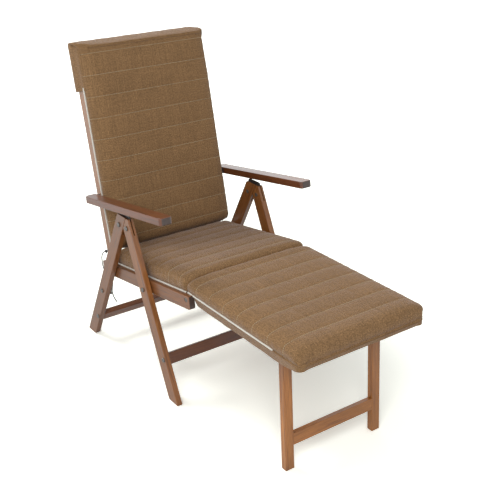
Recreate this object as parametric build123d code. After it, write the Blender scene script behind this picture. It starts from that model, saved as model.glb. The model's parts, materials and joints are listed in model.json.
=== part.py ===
from build123d import *
import math
import os

# A folding wooden garden armchair with a reclining back, a footrest and a one-piece cushion.
# The sitter faces -Y, +Z is up and X runs across; the sitter's right is at -X.
# Sizes are millimetres and angles are degrees. Side views are drawn as (y, z) points.

# Widths across the chair, measured out from its middle plane.
armrest_outer = 300.0
armrest_width = 45.0
leg_inset = 21.0
leg_thickness = 20.0
rail_thickness = 22.0
stile_thickness = 22.0
footrest_side_gap = 20.5
footrest_rail_thickness = 22.0
footrest_leg_thickness = 32.5
turning_gap = 2.0

# Clearances.
fit_gap = 0.3
slide_gap = 0.3
running_gap = 0.08
cut_over = 5.0

# Legs in side view: each leans towards the other and hangs from the bracket under the armrest.
front_pivot_y = -38.0
front_pivot_z = 542.0
pivot_spacing = 53.0
pivot_drop = 4.0
front_leg_angle = 63.5
rear_leg_angle = 116.3
leg_width = 50.0
leg_top_z = 577.0
leg_top_round = 11.0
foot_round = 12.0
edge_round = 2.0

# Stretchers between the legs.
front_stretcher_low = 128.0
front_stretcher_high = 163.0
rear_stretcher_low = 71.0
rear_stretcher_high = 102.0
stretcher_depth = 22.0

# Seat frame: long rails that turn on the front legs and hook on the rear legs.
seat_pivot_z = 353.0
seat_slope = 9.92
seat_rail_height = 45.0
seat_pivot_below_centre = 7.5
seat_front_reach = 258.0
back_hinge_reach = 306.0
seat_rear_overhang = 24.0
seat_front_round = 9.0
seat_slat_count = 5
seat_slat_width = 56.0
seat_slat_thickness = 14.0
seat_slat_start = 100.0
seat_slat_front_margin = 59.0
cross_rail_thickness = 22.0
seat_rear_cross_ahead = 62.0
seat_rear_cross_height = 24.0

# Hooks under the seat rails and the studs that they rest on.
stud_z = 219.0
stud_radius = 5.0
stud_inset = 17.0
hook_thickness = 4.0
hook_width = 24.0
hook_tip_drop = 11.0
hook_root_rise = 74.0
hook_root_ahead = 20.0
hook_exit_angle = 228.0

# Back frame.
back_angle = 75.21
stile_depth = 40.0
stile_length = 772.0
stile_foot_radius = 20.0
back_slat_count = 6
back_slat_width = 58.0
back_slat_thickness = 11.0
back_slat_start = 150.0
back_slat_end = 660.0
back_top_rail_margin = 12.0
back_top_rail_height = 60.0

# Armrests, their hinge plates and the notched racks in their undersides.
armrest_slope = 10.2
armrest_front_y = -295.0
armrest_front_z = 671.0
armrest_length = 530.0
armrest_rear_gap = 13.2748
armrest_thickness = 24.0
armrest_corner = 12.0
armrest_rear_chamfer = 14.0
arm_hinge_up = 260.0
arm_plate_thickness = 3.0
arm_plate_radius = 9.5
arm_plate_length = 74.0
arm_plate_height = 17.0
groove_width = 12.0
groove_depth = 14.0
rack_thickness = 3.0
rack_front_margin = 16.0
rack_rear_margin = 62.0
detent_depth = 1.2
detent_radius = 30.0
detent_count = 5
recline_travel = 30.0

# Brackets that join the leg tops and carry the armrests.
bracket_thickness = 4.0
bracket_ear_radius = 16.0
tooth_offset = 50.0
tooth_radius = 6.0
tooth_seat_gap = 0.2
bracket_shoulder_drop = 7.0
bracket_nose_length = 9.0
bracket_nose_rise = 45.0
slot_below_pivot = 30.0

# Footrest.
footrest_hinge_y = -365.0
footrest_hinge_z = 410.0
footrest_slope = 0.9
footrest_rail_height = 27.0
footrest_rear_overhang = 15.0
footrest_rail_length = 449.0
footrest_leg_reach = 393.4
footrest_leg_depth = 21.7
footrest_leg_angle = 84.96
footrest_bar_low = 80.0
footrest_bar_high = 120.0
footrest_bar_depth = 18.0
footrest_slat_count = 3
footrest_slat_width = 56.0
footrest_slat_thickness = 10.0
footrest_slat_start = 20.0
footrest_slat_end = 300.0

# Fasteners.
bolt_radius = 4.0
bolt_head_radius = 8.0
bolt_head_height = 4.5
nut_radius = 7.0
nut_height = 6.0
thin_nut_height = 1.7
washer_radius = 9.0
hinge_washer_radius = 20.0
hinge_washer_thickness = 3.0
head_recess_depth = 5.5

# Cushion in three sections that follow the seat, the back and the footrest.
cushion_side_gap = 18.0
cushion_side_bulge = 7.0
cushion_waist = 3.0
cushion_bottom_round = 9.0
cushion_groove = 7.0
pinch_reach = 90.0
seat_cushion_height = 55.0
seat_cushion_crown = 8.0
seat_cushion_channels = 7
seat_cushion_first = -226.0
seat_cushion_last = 300.0
seat_cushion_pinch = 16.0
back_cushion_height = 62.0
back_cushion_crown = 8.0
back_cushion_channels = 10
back_cushion_first = 58.0
back_cushion_last = 801.0
foot_cushion_height = 44.0
foot_cushion_crown = 9.0
foot_cushion_channels = 7
foot_cushion_first = -538.0
foot_cushion_last = 30.0
foot_cushion_pinch = 14.0
crease_gap = 0.8
rear_crease_y = 97.0
rear_crease_z = 415.0
rear_crease_angle = -49.8
front_crease_y = -348.5
front_crease_z = 435.0
front_crease_angle = 95.0
hood_depth = 110.0
hood_wall = 3.0
hood_behind = 6.0
skirt_inset = 3.0
skirt_top_gap = 0.2
skirt_drop = 41.0
skirt_wall = 3.0
skirt_rear = -14.0

# The loose tie that is sewn to the back cushion and knotted behind the right stile.
tie_radius = 1.75
tie_knot_radius = 6.0
tie_knot_x = -233.0
tie_knot_up = 52.0
tie_knot_behind = 7.5
tie_route = [
    (-235.2, 171.0, 376.0),
    (-235.2, 209.5, 353.5),
    (-238.2, 229.0, 341.0),
    (-238.2, 243.0, 320.0),
    (-238.2, 241.0, 290.0),
    (-238.2, 226.0, 262.0),
    (-238.2, 200.0, 236.0),
    (-238.2, 176.0, 208.0),
    (-238.2, 165.0, 182.0),
    (-238.2, 140.0, 174.0),
]
tie_turn_share = 0.45


def heading(angle):
    """Unit (y, z) direction at an angle up from +Y."""
    return Vector(math.cos(math.radians(angle)), math.sin(math.radians(angle)))


def place(start, angle, along, aside=0):
    """The point that lies along a heading from start, and aside to its left."""
    return start + heading(angle) * along + heading(angle + 90) * aside


def at_height(start, angle, z):
    """Where the line through start at this angle reaches a height."""
    return place(start, angle, (z - start.Y) / math.sin(math.radians(angle)))


def meet(start_a, angle_a, start_b, angle_b):
    """Where two lines cross in side view."""
    offset = start_b - start_a
    side = heading(angle_b + 90)
    return place(start_a, angle_a, offset.dot(side) / heading(angle_a).dot(side))


def turned(point, centre, angle):
    """A point turned about a centre by an angle, from +Y towards +Z."""
    return centre + (point - centre).rotate(Axis.Z, angle)


def outline(*points):
    """A flat face through side-view points."""
    face = Face(Wire.make_polygon(list(points)))
    return -face if face.normal_at().Z < 0 else face


def plank(start, angle, first, last, low, high):
    """A rectangle along a heading, between two reaches and two offsets to its left."""
    return outline(
        place(start, angle, first, low),
        place(start, angle, last, low),
        place(start, angle, last, high),
        place(start, angle, first, high),
    )


def disc(centre, radius):
    return Pos(centre.X, centre.Y) * Circle(radius)


def bar(start, end, radius):
    """A bar with round ends, from one centre to another."""
    span = end - start
    angle = math.degrees(math.atan2(span.Y, span.X))
    return Sketch() + plank(start, angle, 0, span.length, -radius, radius) + disc(start, radius) + disc(end, radius)


def nearest_corner(face, point):
    return min(face.vertices(), key=lambda corner: (Vector(corner) - point).length)


def rounded(face, *corners):
    """A face with each named corner rounded: pairs of point and radius."""
    for point, radius in corners:
        face = fillet(nearest_corner(face, point), radius)
    return face


def across(face, low, high):
    """A side-view face carried across the chair from x = low to x = high."""
    return extrude(Plane.YZ.offset(low) * face, high - low)


def softened(timber, radius=edge_round):
    """A timber with its long edges eased, as a sander leaves them."""
    return fillet(timber.edges(), radius)


def mirrored(solid):
    return mirror(solid, about=Plane.YZ)


def both(solid):
    """A left and right pair of separate solids in one group."""
    return Compound(children=[solid, mirrored(solid)])


def bored(solid, centre, radius, low, high):
    return solid - across(disc(centre, radius), low - cut_over, high + cut_over)


# Places across the chair.
armrest_inner = armrest_outer - armrest_width
leg_outer = armrest_outer - leg_inset
leg_inner = leg_outer - leg_thickness
leg_middle = (leg_outer + leg_inner) / 2
seat_rail_outer = leg_inner - turning_gap
seat_rail_inner = seat_rail_outer - rail_thickness
stile_outer = seat_rail_inner - turning_gap
stile_inner = stile_outer - stile_thickness
footrest_rail_outer = seat_rail_inner - footrest_side_gap
footrest_rail_inner = footrest_rail_outer - footrest_rail_thickness
footrest_leg_outer = footrest_rail_inner - turning_gap
footrest_leg_inner = footrest_leg_outer - footrest_leg_thickness
cushion_half_width = armrest_inner - cushion_side_gap
skirt_half_width = cushion_half_width - skirt_inset

# Pivots in side view.
front_pivot = Vector(front_pivot_y, front_pivot_z)
rear_pivot = front_pivot + Vector(pivot_spacing, -pivot_drop)
seat_pivot = at_height(front_pivot, front_leg_angle, seat_pivot_z)
back_hinge = place(seat_pivot, -seat_slope, back_hinge_reach, seat_pivot_below_centre)
arm_hinge = place(back_hinge, back_angle, arm_hinge_up)
footrest_hinge = Vector(footrest_hinge_y, footrest_hinge_z)
footrest_leg_pivot = place(footrest_hinge, -footrest_slope, -footrest_leg_reach)
stud_centre = at_height(rear_pivot, rear_leg_angle, stud_z)

# Seat rail offsets from the line through the seat pivot, and the reach of its slats.
seat_top = seat_pivot_below_centre + seat_rail_height / 2
seat_bottom = seat_pivot_below_centre - seat_rail_height / 2
seat_slat_end = seat_front_reach + back_hinge_reach - seat_slat_front_margin

# Armrest lines.
armrest_front_top = Vector(armrest_front_y, armrest_front_z)
armrest_top = (armrest_front_top - arm_hinge).dot(heading(90 - armrest_slope))
armrest_front = -armrest_rear_gap - armrest_length
armrest_bottom = armrest_top - armrest_thickness
rack_face = armrest_bottom + groove_depth - rack_thickness

# The bracket tooth stands in the first notch at rest.
tooth_side = rack_face + detent_depth - tooth_seat_gap - tooth_radius
tooth_y = front_pivot_y + tooth_offset
tooth_along = (tooth_y - arm_hinge.X - tooth_side * math.sin(math.radians(armrest_slope))) / math.cos(
    math.radians(armrest_slope)
)
tooth = place(arm_hinge, -armrest_slope, tooth_along, tooth_side)


def hinge_at(recline):
    """Where the arm hinge is once the back has tilted rearwards."""
    return turned(arm_hinge, back_hinge, -recline)


# Armrest turn that brings the last notch down onto the tooth at full recline.
far_reach = (tooth - hinge_at(recline_travel)).length
far_along = -math.sqrt(far_reach**2 - tooth_side**2)
far_sight = tooth - hinge_at(recline_travel)
sight_slope = math.degrees(math.atan2(far_sight.Y, -far_sight.X))
far_slope = sight_slope - math.degrees(math.atan2(tooth_side, -far_along))
armrest_turn = far_slope - armrest_slope
armrest_ratio = armrest_turn / recline_travel - 1


def make_front_leg():
    """Front leg: its foot is flat on the floor and its top clears the rear leg."""
    back_edge = place(front_pivot, front_leg_angle, 0, -leg_width / 2)
    front_edge = place(front_pivot, front_leg_angle, 0, leg_width / 2)
    rear_leg_face = place(rear_pivot, rear_leg_angle, 0, leg_width / 2 + turning_gap / 2)
    waist = meet(back_edge, front_leg_angle, rear_leg_face, rear_leg_angle)
    top_back = at_height(rear_leg_face, rear_leg_angle, leg_top_z)
    top_front = at_height(front_edge, front_leg_angle, leg_top_z)
    foot_back = at_height(back_edge, front_leg_angle, 0)
    foot_front = at_height(front_edge, front_leg_angle, 0)
    side = outline(foot_front, foot_back, waist, top_back, top_front)
    side = rounded(side, (top_back, leg_top_round), (top_front, edge_round), (foot_back, foot_round))
    leg = softened(across(side, leg_inner, leg_outer))
    leg = leg - bracket_slot(front_pivot, front_leg_angle)
    leg = bored(leg, front_pivot, bolt_radius, leg_inner, leg_outer)
    leg = bored(leg, seat_pivot, bolt_radius, leg_inner, leg_outer)
    return bored(leg, front_stretcher_bolt, bolt_radius, leg_inner, leg_outer)


def make_rear_leg():
    """Rear leg: cut level at the top and flat on the floor."""
    back_edge = place(rear_pivot, rear_leg_angle, 0, -leg_width / 2)
    front_edge = place(rear_pivot, rear_leg_angle, 0, leg_width / 2)
    top_back = at_height(back_edge, rear_leg_angle, leg_top_z)
    top_front = at_height(front_edge, rear_leg_angle, leg_top_z)
    foot_back = at_height(back_edge, rear_leg_angle, 0)
    foot_front = at_height(front_edge, rear_leg_angle, 0)
    side = outline(foot_front, foot_back, top_back, top_front)
    side = rounded(side, (top_back, leg_top_round), (top_front, edge_round), (foot_front, foot_round))
    leg = softened(across(side, leg_inner, leg_outer))
    leg = leg - bracket_slot(rear_pivot, rear_leg_angle)
    leg = bored(leg, rear_pivot, bolt_radius, leg_inner, leg_outer)
    leg = bored(leg, stud_centre, stud_radius, leg_inner, leg_outer)
    return bored(leg, rear_stretcher_bolt, bolt_radius, leg_inner, leg_outer)


def bracket_slot(pivot, angle):
    """The slot through a leg's top that the bracket plate turns in."""
    half = bracket_thickness / 2 + slide_gap
    reach = leg_top_z - pivot.Y + leg_width
    side = plank(pivot, angle, -slot_below_pivot, reach, -leg_width, leg_width)
    return across(side, leg_middle - half, leg_middle + half)


def stretcher_side(pivot, angle, low, high):
    """Side view of a stretcher that lies flush in the front edge of its pair of legs."""
    front_side = leg_width / 2
    front_edge = place(pivot, angle, 0, front_side)
    low_reach = (at_height(front_edge, angle, low) - front_edge).dot(heading(angle))
    high_reach = (at_height(front_edge, angle, high) - front_edge).dot(heading(angle))
    return plank(pivot, angle, low_reach, high_reach, front_side - stretcher_depth, front_side)


def make_stretcher(side):
    return softened(across(side, -leg_inner, leg_inner))


front_stretcher_side = stretcher_side(front_pivot, front_leg_angle, front_stretcher_low, front_stretcher_high)
rear_stretcher_side = stretcher_side(rear_pivot, rear_leg_angle, rear_stretcher_low, rear_stretcher_high)
front_stretcher_bolt = front_stretcher_side.center()
rear_stretcher_bolt = rear_stretcher_side.center()


def make_stretcher_screw(centre):
    """A headed screw through the leg; its end butts on the stretcher inside."""
    shank = across(disc(centre, bolt_radius), leg_inner, leg_outer)
    head = across(disc(centre, bolt_head_radius), leg_outer, leg_outer + bolt_head_height)
    return shank + fillet(head.faces().sort_by(Axis.X)[-1].edges(), edge_round)


def make_leg_bolt(centre):
    """The bolt that holds a leg to its bracket: domed head outside, nut inside."""
    shank = across(disc(centre, bolt_radius), leg_inner - thin_nut_height, leg_outer)
    head = across(disc(centre, bolt_head_radius), leg_outer, leg_outer + bolt_head_height)
    nut = across(disc(centre, nut_radius), leg_inner - thin_nut_height, leg_inner)
    return shank + nut + fillet(head.faces().sort_by(Axis.X)[-1].edges(), edge_round)


def make_seat_pivot_bolt():
    """The bolt that the seat rail turns on, with a washer between rail and leg."""
    nut_start = seat_rail_inner - fit_gap - nut_height
    shank = across(disc(seat_pivot, bolt_radius), nut_start, leg_outer)
    head = across(disc(seat_pivot, bolt_head_radius), leg_outer, leg_outer + bolt_head_height)
    washer = across(disc(seat_pivot, washer_radius), seat_rail_outer + fit_gap, leg_inner)
    nut = across(disc(seat_pivot, nut_radius), nut_start, seat_rail_inner - fit_gap)
    return shank + washer + nut + fillet(head.faces().sort_by(Axis.X)[-1].edges(), edge_round)


def make_stud():
    """The stud inside a rear leg that a seat hook rests on."""
    shank = across(disc(stud_centre, stud_radius), leg_inner - stud_inset, leg_outer)
    head = across(disc(stud_centre, bolt_head_radius), leg_outer, leg_outer + bolt_head_height)
    return shank + fillet(head.faces().sort_by(Axis.X)[-1].edges(), edge_round)


def make_bracket():
    """Flat steel bracket: two pivot ears, a front nose and the tooth that holds the rack."""
    ears = bar(front_pivot, rear_pivot, bracket_ear_radius)
    base = armrest_bottom - bracket_shoulder_drop
    shoulder_front = place(arm_hinge, -armrest_slope, tooth_along - 2 * tooth_radius, base)
    shoulder_back = place(arm_hinge, -armrest_slope, tooth_along + 2 * tooth_radius, base)
    nose = front_pivot + Vector(0, bracket_nose_rise - bracket_nose_length)
    neck = outline(
        front_pivot,
        rear_pivot,
        rear_pivot + Vector(bracket_ear_radius, 0),
        shoulder_back,
        shoulder_front,
        nose + Vector(0, bracket_nose_length),
        nose - Vector(0, bracket_nose_length),
    )
    post = plank(tooth, 90 - armrest_slope, base - tooth_side - tooth_radius, 0, -tooth_radius, tooth_radius)
    side = Sketch() + ears + neck + disc(nose, bracket_nose_length) + post + disc(tooth, tooth_radius)
    plate = across(side, leg_middle - bracket_thickness / 2, leg_middle + bracket_thickness / 2)
    plate = bored(plate, front_pivot, bolt_radius + running_gap, leg_inner, leg_outer)
    return bored(plate, rear_pivot, bolt_radius + running_gap, leg_inner, leg_outer)


def make_seat_rail():
    """Side rail of the seat, bored for its pivot, the back hinge and the footrest hinge."""
    side = plank(
        seat_pivot, -seat_slope, -seat_front_reach, back_hinge_reach + seat_rear_overhang, seat_bottom, seat_top
    )
    low_front = place(seat_pivot, -seat_slope, -seat_front_reach, seat_bottom)
    side = rounded(side, (low_front, seat_front_round))
    rail = softened(across(side, seat_rail_inner, seat_rail_outer))
    rail = bored(rail, seat_pivot, bolt_radius + running_gap, seat_rail_inner, seat_rail_outer)
    rail = bored(rail, back_hinge, bolt_radius + running_gap, seat_rail_inner, seat_rail_outer)
    rail = bored(rail, footrest_hinge, bolt_radius, seat_rail_inner, seat_rail_outer)
    recess = across(
        disc(back_hinge, bolt_head_radius + fit_gap), seat_rail_outer - head_recess_depth, seat_rail_outer + cut_over
    )
    front_recess = across(
        disc(footrest_hinge, bolt_head_radius), seat_rail_outer - head_recess_depth, seat_rail_outer + cut_over
    )
    return rail - recess - front_recess - hook_blank()


hook_middle = (seat_rail_inner + seat_rail_outer) / 2


def hook_blank():
    """The hook's flat blank, which also cuts its slot in the rail."""
    foot = stud_centre - Vector(0, hook_tip_drop)
    head = stud_centre + Vector(-hook_root_ahead, hook_root_rise)
    half = hook_width / 2
    return across(bar(foot, head, half), hook_middle - hook_thickness / 2, hook_middle + hook_thickness / 2)


def make_seat_hook():
    """Steel hook let into the rail; its notch opens forwards and down over the stud."""
    blank = hook_blank()
    notch = disc(stud_centre, stud_radius + fit_gap)
    way = plank(
        stud_centre, hook_exit_angle, 0, hook_width * 2, -stud_radius - fit_gap, stud_radius + fit_gap
    )
    cut = across(Sketch() + notch + way, hook_middle - hook_thickness, hook_middle + hook_thickness)
    return blank - cut


def make_slat(start, angle, first, width, low, high, half_width):
    return softened(across(plank(start, angle, first, first + width, low, high), -half_width, half_width))


def spread(start, end, width, count):
    """First edges of evenly spaced slats between two reaches."""
    step = (end - start - width) / (count - 1)
    return [start + step * index for index in range(count)]


def make_seat_slats():
    """Slats between the seat rails, flush with their top edges."""
    slats = {}
    for index, reach in enumerate(spread(seat_slat_start, seat_slat_end, seat_slat_width, seat_slat_count)):
        first = back_hinge_reach - reach - seat_slat_width
        slats[f"seat_slat_{index + 1}"] = make_slat(
            seat_pivot,
            -seat_slope,
            first,
            seat_slat_width,
            seat_top - seat_slat_thickness,
            seat_top,
            seat_rail_inner,
        )
    return slats


def make_seat_cross(ahead, low, high):
    first = back_hinge_reach - ahead
    side = plank(seat_pivot, -seat_slope, first - cross_rail_thickness, first, low, high)
    return softened(across(side, -seat_rail_inner, seat_rail_inner))


def make_back_hinge_bolt():
    """Bolt through rail and stile: head sunk in the rail, nut inside, and two wide washers."""
    head_start = seat_rail_outer - head_recess_depth + fit_gap
    washer_start = stile_inner - fit_gap - hinge_washer_thickness
    nut_start = washer_start - nut_height
    shank = across(disc(back_hinge, bolt_radius), nut_start, head_start + bolt_head_height)
    head = across(disc(back_hinge, bolt_head_radius), head_start, head_start + bolt_head_height)
    washer = disc(back_hinge, hinge_washer_radius)
    outer_washer = across(washer, stile_outer + fit_gap, seat_rail_inner - fit_gap)
    inner_washer = across(washer, washer_start, stile_inner - fit_gap)
    nut = across(disc(back_hinge, nut_radius), nut_start, washer_start)
    return shank + head + outer_washer + inner_washer + nut


def make_stile():
    """Back stile with a round foot on the hinge bolt."""
    half = stile_depth / 2
    post = plank(back_hinge, back_angle, 0, stile_length, -half, half)
    corners = [(place(back_hinge, back_angle, stile_length, aside), leg_top_round) for aside in (-half, half)]
    side = Sketch() + rounded(post, *corners) + disc(back_hinge, stile_foot_radius)
    stile = softened(across(side, stile_inner, stile_outer))
    stile = bored(stile, back_hinge, bolt_radius + running_gap, stile_inner, stile_outer)
    return bored(stile, arm_hinge, bolt_radius + running_gap, stile_inner, stile_outer)


def make_back_slats():
    """Slats between the stiles, flush with their front edges."""
    slats = {}
    front = stile_depth / 2
    for index, first in enumerate(spread(back_slat_start, back_slat_end, back_slat_width, back_slat_count)):
        slats[f"back_slat_{index + 1}"] = make_slat(
            back_hinge, back_angle, first, back_slat_width, front - back_slat_thickness, front, stile_inner
        )
    return slats


def make_back_top_rail():
    half = cross_rail_thickness / 2
    last = stile_length - back_top_rail_margin
    first = last - back_top_rail_height
    return softened(
        across(plank(back_hinge, back_angle, first, last, -half, half), -stile_inner, stile_inner)
    )


def make_arm_bolt():
    """Bolt, spacer and nut that join the stile to the arm's hinge plate."""
    plate_start = armrest_inner - arm_plate_thickness
    nut_end = armrest_inner + fit_gap + nut_height
    head_start = stile_inner - fit_gap - bolt_head_height
    shank = across(disc(arm_hinge, bolt_radius), head_start, nut_end)
    head = across(disc(arm_hinge, bolt_head_radius), head_start, stile_inner - fit_gap)
    spacer = across(disc(arm_hinge, bolt_head_radius), stile_outer + fit_gap, plate_start - fit_gap)
    nut = across(disc(arm_hinge, nut_radius), armrest_inner + fit_gap, nut_end)
    return shank + head + spacer + nut


def make_armrest():
    """Arm board with eased ends and the groove for its rack."""
    board = across(
        plank(arm_hinge, -armrest_slope, armrest_front, -armrest_rear_gap, armrest_bottom, armrest_top),
        armrest_inner,
        armrest_outer,
    )
    uprights = board.edges().filter_by(lambda edge: abs(edge.length - armrest_thickness) < fit_gap)
    front_uprights = uprights.sort_by(Axis.Y)[:2]
    board = fillet(front_uprights, armrest_corner)
    uprights = board.edges().filter_by(lambda edge: abs(edge.length - armrest_thickness) < fit_gap)
    rear_upright = uprights.sort_by(Axis.Y)[-2:].sort_by(Axis.X)[-1]
    board = chamfer(rear_upright, armrest_rear_chamfer)
    top = board.faces().sort_by(Axis.Z)[-1]
    board = fillet(top.edges(), edge_round)
    groove = across(
        plank(
            arm_hinge, -armrest_slope, rack_first, rack_last, armrest_bottom - cut_over, armrest_bottom + groove_depth
        ),
        leg_middle - groove_width / 2,
        leg_middle + groove_width / 2,
    )
    return board - groove


rack_first = far_along - rack_front_margin
rack_last = tooth_along + rack_rear_margin


def make_arm_rack():
    """Steel strip in the groove with a shallow notch for each back position."""
    side = plank(arm_hinge, -armrest_slope, rack_first, rack_last, rack_face, rack_face + rack_thickness)
    strip = across(side, leg_middle - groove_width / 2, leg_middle + groove_width / 2)
    for index in range(detent_count):
        reach = tooth_along + (far_along - tooth_along) * index / (detent_count - 1)
        centre = place(arm_hinge, -armrest_slope, reach, rack_face + detent_depth - detent_radius)
        strip -= across(disc(centre, detent_radius), leg_middle - groove_width, leg_middle + groove_width)
    return strip


def make_arm_plate():
    """Hinge plate on the arm's inner side, with its ear on the stile's bolt."""
    middle = (armrest_top + armrest_bottom) / 2
    strap = plank(
        arm_hinge,
        -armrest_slope,
        -arm_plate_length,
        0,
        middle - arm_plate_height / 2,
        middle + arm_plate_height / 2,
    )
    side = Sketch() + strap + disc(arm_hinge, arm_plate_radius)
    plate = across(side, armrest_inner - arm_plate_thickness, armrest_inner)
    return bored(plate, arm_hinge, bolt_radius + running_gap, armrest_inner, armrest_inner)


def make_footrest_rail():
    half = footrest_rail_height / 2
    first = footrest_rear_overhang - footrest_rail_length
    side = plank(footrest_hinge, -footrest_slope, first, footrest_rear_overhang, -half, half)
    rail = softened(across(side, footrest_rail_inner, footrest_rail_outer))
    rail = bored(rail, footrest_hinge, bolt_radius + running_gap, footrest_rail_inner, footrest_rail_outer)
    return bored(rail, footrest_leg_pivot, bolt_radius, footrest_rail_inner, footrest_rail_outer)


def make_footrest_hinge_bolt():
    """Bolt and spacer that carry the footrest between the seat rails."""
    head_start = seat_rail_outer - head_recess_depth
    nut_start = footrest_rail_inner - fit_gap - nut_height
    shank = across(disc(footrest_hinge, bolt_radius), nut_start, head_start + bolt_head_height)
    head = across(disc(footrest_hinge, bolt_head_radius), head_start, head_start + bolt_head_height)
    spacer = across(disc(footrest_hinge, bolt_head_radius), footrest_rail_outer + fit_gap, seat_rail_inner)
    nut = across(disc(footrest_hinge, nut_radius), nut_start, footrest_rail_inner - fit_gap)
    return shank + head + spacer + nut


def make_footrest_cross(first):
    half = footrest_rail_height / 2
    side = plank(footrest_hinge, -footrest_slope, first, first + cross_rail_thickness, -half, half)
    return softened(across(side, -footrest_rail_inner, footrest_rail_inner))


def make_footrest_slats():
    """Slats between the footrest rails, flush with their top edges."""
    slats = {}
    top = footrest_rail_height / 2
    reaches = spread(footrest_slat_start, footrest_slat_end, footrest_slat_width, footrest_slat_count)
    for index, reach in enumerate(reaches):
        slats[f"footrest_slat_{index + 1}"] = make_slat(
            footrest_hinge,
            -footrest_slope,
            -reach - footrest_slat_width,
            footrest_slat_width,
            top - footrest_slat_thickness,
            top,
            footrest_rail_inner,
        )
    return slats


def make_footrest_leg():
    """Footrest leg with a round top on its bolt and a level foot."""
    half = footrest_leg_depth / 2
    front = place(footrest_leg_pivot, footrest_leg_angle, 0, half)
    back = place(footrest_leg_pivot, footrest_leg_angle, 0, -half)
    side = outline(
        front,
        back,
        at_height(back, footrest_leg_angle, 0),
        at_height(front, footrest_leg_angle, 0),
    )
    side = Sketch() + side + disc(footrest_leg_pivot, half)
    leg = softened(across(side, footrest_leg_inner, footrest_leg_outer))
    return bored(leg, footrest_leg_pivot, bolt_radius + running_gap, footrest_leg_inner, footrest_leg_outer)


def make_footrest_leg_bolt():
    nut_start = footrest_leg_inner - fit_gap - nut_height
    shank = across(disc(footrest_leg_pivot, bolt_radius), nut_start, footrest_rail_outer)
    head = across(
        disc(footrest_leg_pivot, bolt_head_radius), footrest_rail_outer, footrest_rail_outer + bolt_head_height
    )
    washer = across(
        disc(footrest_leg_pivot, washer_radius), footrest_leg_outer + fit_gap, footrest_rail_inner
    )
    nut = across(disc(footrest_leg_pivot, nut_radius), nut_start, footrest_leg_inner - fit_gap)
    return shank + head + washer + nut


def make_footrest_bar():
    """Crossbar between the footrest legs, nearly flush with their front faces."""
    half = footrest_leg_depth / 2
    front = place(footrest_leg_pivot, footrest_leg_angle, 0, half)
    low = (at_height(front, footrest_leg_angle, footrest_bar_low) - front).dot(heading(footrest_leg_angle))
    high = (at_height(front, footrest_leg_angle, footrest_bar_high) - front).dot(heading(footrest_leg_angle))
    side = plank(footrest_leg_pivot, footrest_leg_angle, low, high, half - footrest_bar_depth, half)
    return softened(across(side, -footrest_leg_inner, footrest_leg_inner))


station_shares = (0.0, 0.16, 0.5, 0.84)
groove_shares = (1.0, 0.28, 0.0, 0.28)
shoulder_share = 0.8
side_middle_share = 0.45
top_inset_share = 0.42


def pad_section(origin, direction, normal, half_width, height, crown):
    """One cross-section of a pad: flat base, bulging sides and a crowned top."""
    plane = Plane(origin=origin, x_dir=(1, 0, 0), z_dir=direction)
    lift = 1 if plane.y_dir.dot(normal) > 0 else -1
    base = half_width - cushion_bottom_round
    edge = half_width + cushion_side_bulge
    top = half_width - height * (1 - top_inset_share) / 2
    shoulder = height * shoulder_share
    middle = height * side_middle_share
    with BuildLine(plane) as line:
        Line((-base, 0), (base, 0))
        ThreePointArc((base, 0), (edge, lift * middle), (top, lift * shoulder))
        ThreePointArc((top, lift * shoulder), (0, lift * (height + crown)), (-top, lift * shoulder))
        ThreePointArc((-top, lift * shoulder), (-edge, lift * middle), (-base, 0))
    return make_face(line.wire())


def pad(start, angle, first, last, base, height, crown, channels, pinch_first=0, pinch_last=0):
    """A crowned pad with sewn channels, lofted along a heading in side view."""
    direction = heading(angle)
    normal = heading(angle + 90)
    length = last - first
    shares = [(index + share) / channels for index in range(channels) for share in station_shares]
    depths = [depth for index in range(channels) for depth in groove_shares]
    shares.append(1.0)
    depths.append(groove_shares[0])
    sections = []
    for share, depth in zip(shares, depths):
        point = place(start, angle, first + length * share, base)
        waist = cushion_waist * math.sin(math.pi * share)
        near_first = max(0, 1 - length * share / pinch_reach) ** 2
        near_last = max(0, 1 - length * (1 - share) / pinch_reach) ** 2
        lost = cushion_groove * depth + pinch_first * near_first + pinch_last * near_last
        sections.append(
            pad_section(
                (0, point.X, point.Y),
                (0, direction.X, direction.Y),
                Vector(0, normal.X, normal.Y),
                cushion_half_width - waist,
                height - lost,
                crown,
            )
        )
    return loft(sections, ruled=True)


rear_crease = Vector(rear_crease_y, rear_crease_z)
front_crease = Vector(front_crease_y, front_crease_z)


def beyond(point, angle, gap):
    """Everything to the left of a line in side view, starting a gap away from it."""
    side = plank(point, angle, -armrest_length, armrest_length, gap, armrest_length)
    return across(side, -armrest_outer, armrest_outer)


def make_back_cushion():
    """Back section: its lower end is cut along the crease with the seat section."""
    cushion = pad(
        back_hinge,
        back_angle,
        back_cushion_first,
        back_cushion_last,
        stile_depth / 2 + fit_gap,
        back_cushion_height,
        back_cushion_crown,
        back_cushion_channels,
    )
    return cushion - beyond(rear_crease, rear_crease_angle + 180, -crease_gap / 2)


def make_seat_cushion():
    """Seat section, cut along both creases and clear of the stiles."""
    cushion = pad(
        seat_pivot,
        -seat_slope,
        seat_cushion_first,
        seat_cushion_last,
        seat_top + fit_gap,
        seat_cushion_height,
        seat_cushion_crown,
        seat_cushion_channels,
        seat_cushion_pinch,
    )
    cushion = cushion - beyond(rear_crease, rear_crease_angle, -crease_gap / 2)
    cushion = cushion - beyond(front_crease, front_crease_angle, -crease_gap / 2)
    return cushion - beyond(back_hinge, back_angle + 180, -stile_depth / 2 - fit_gap)


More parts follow.
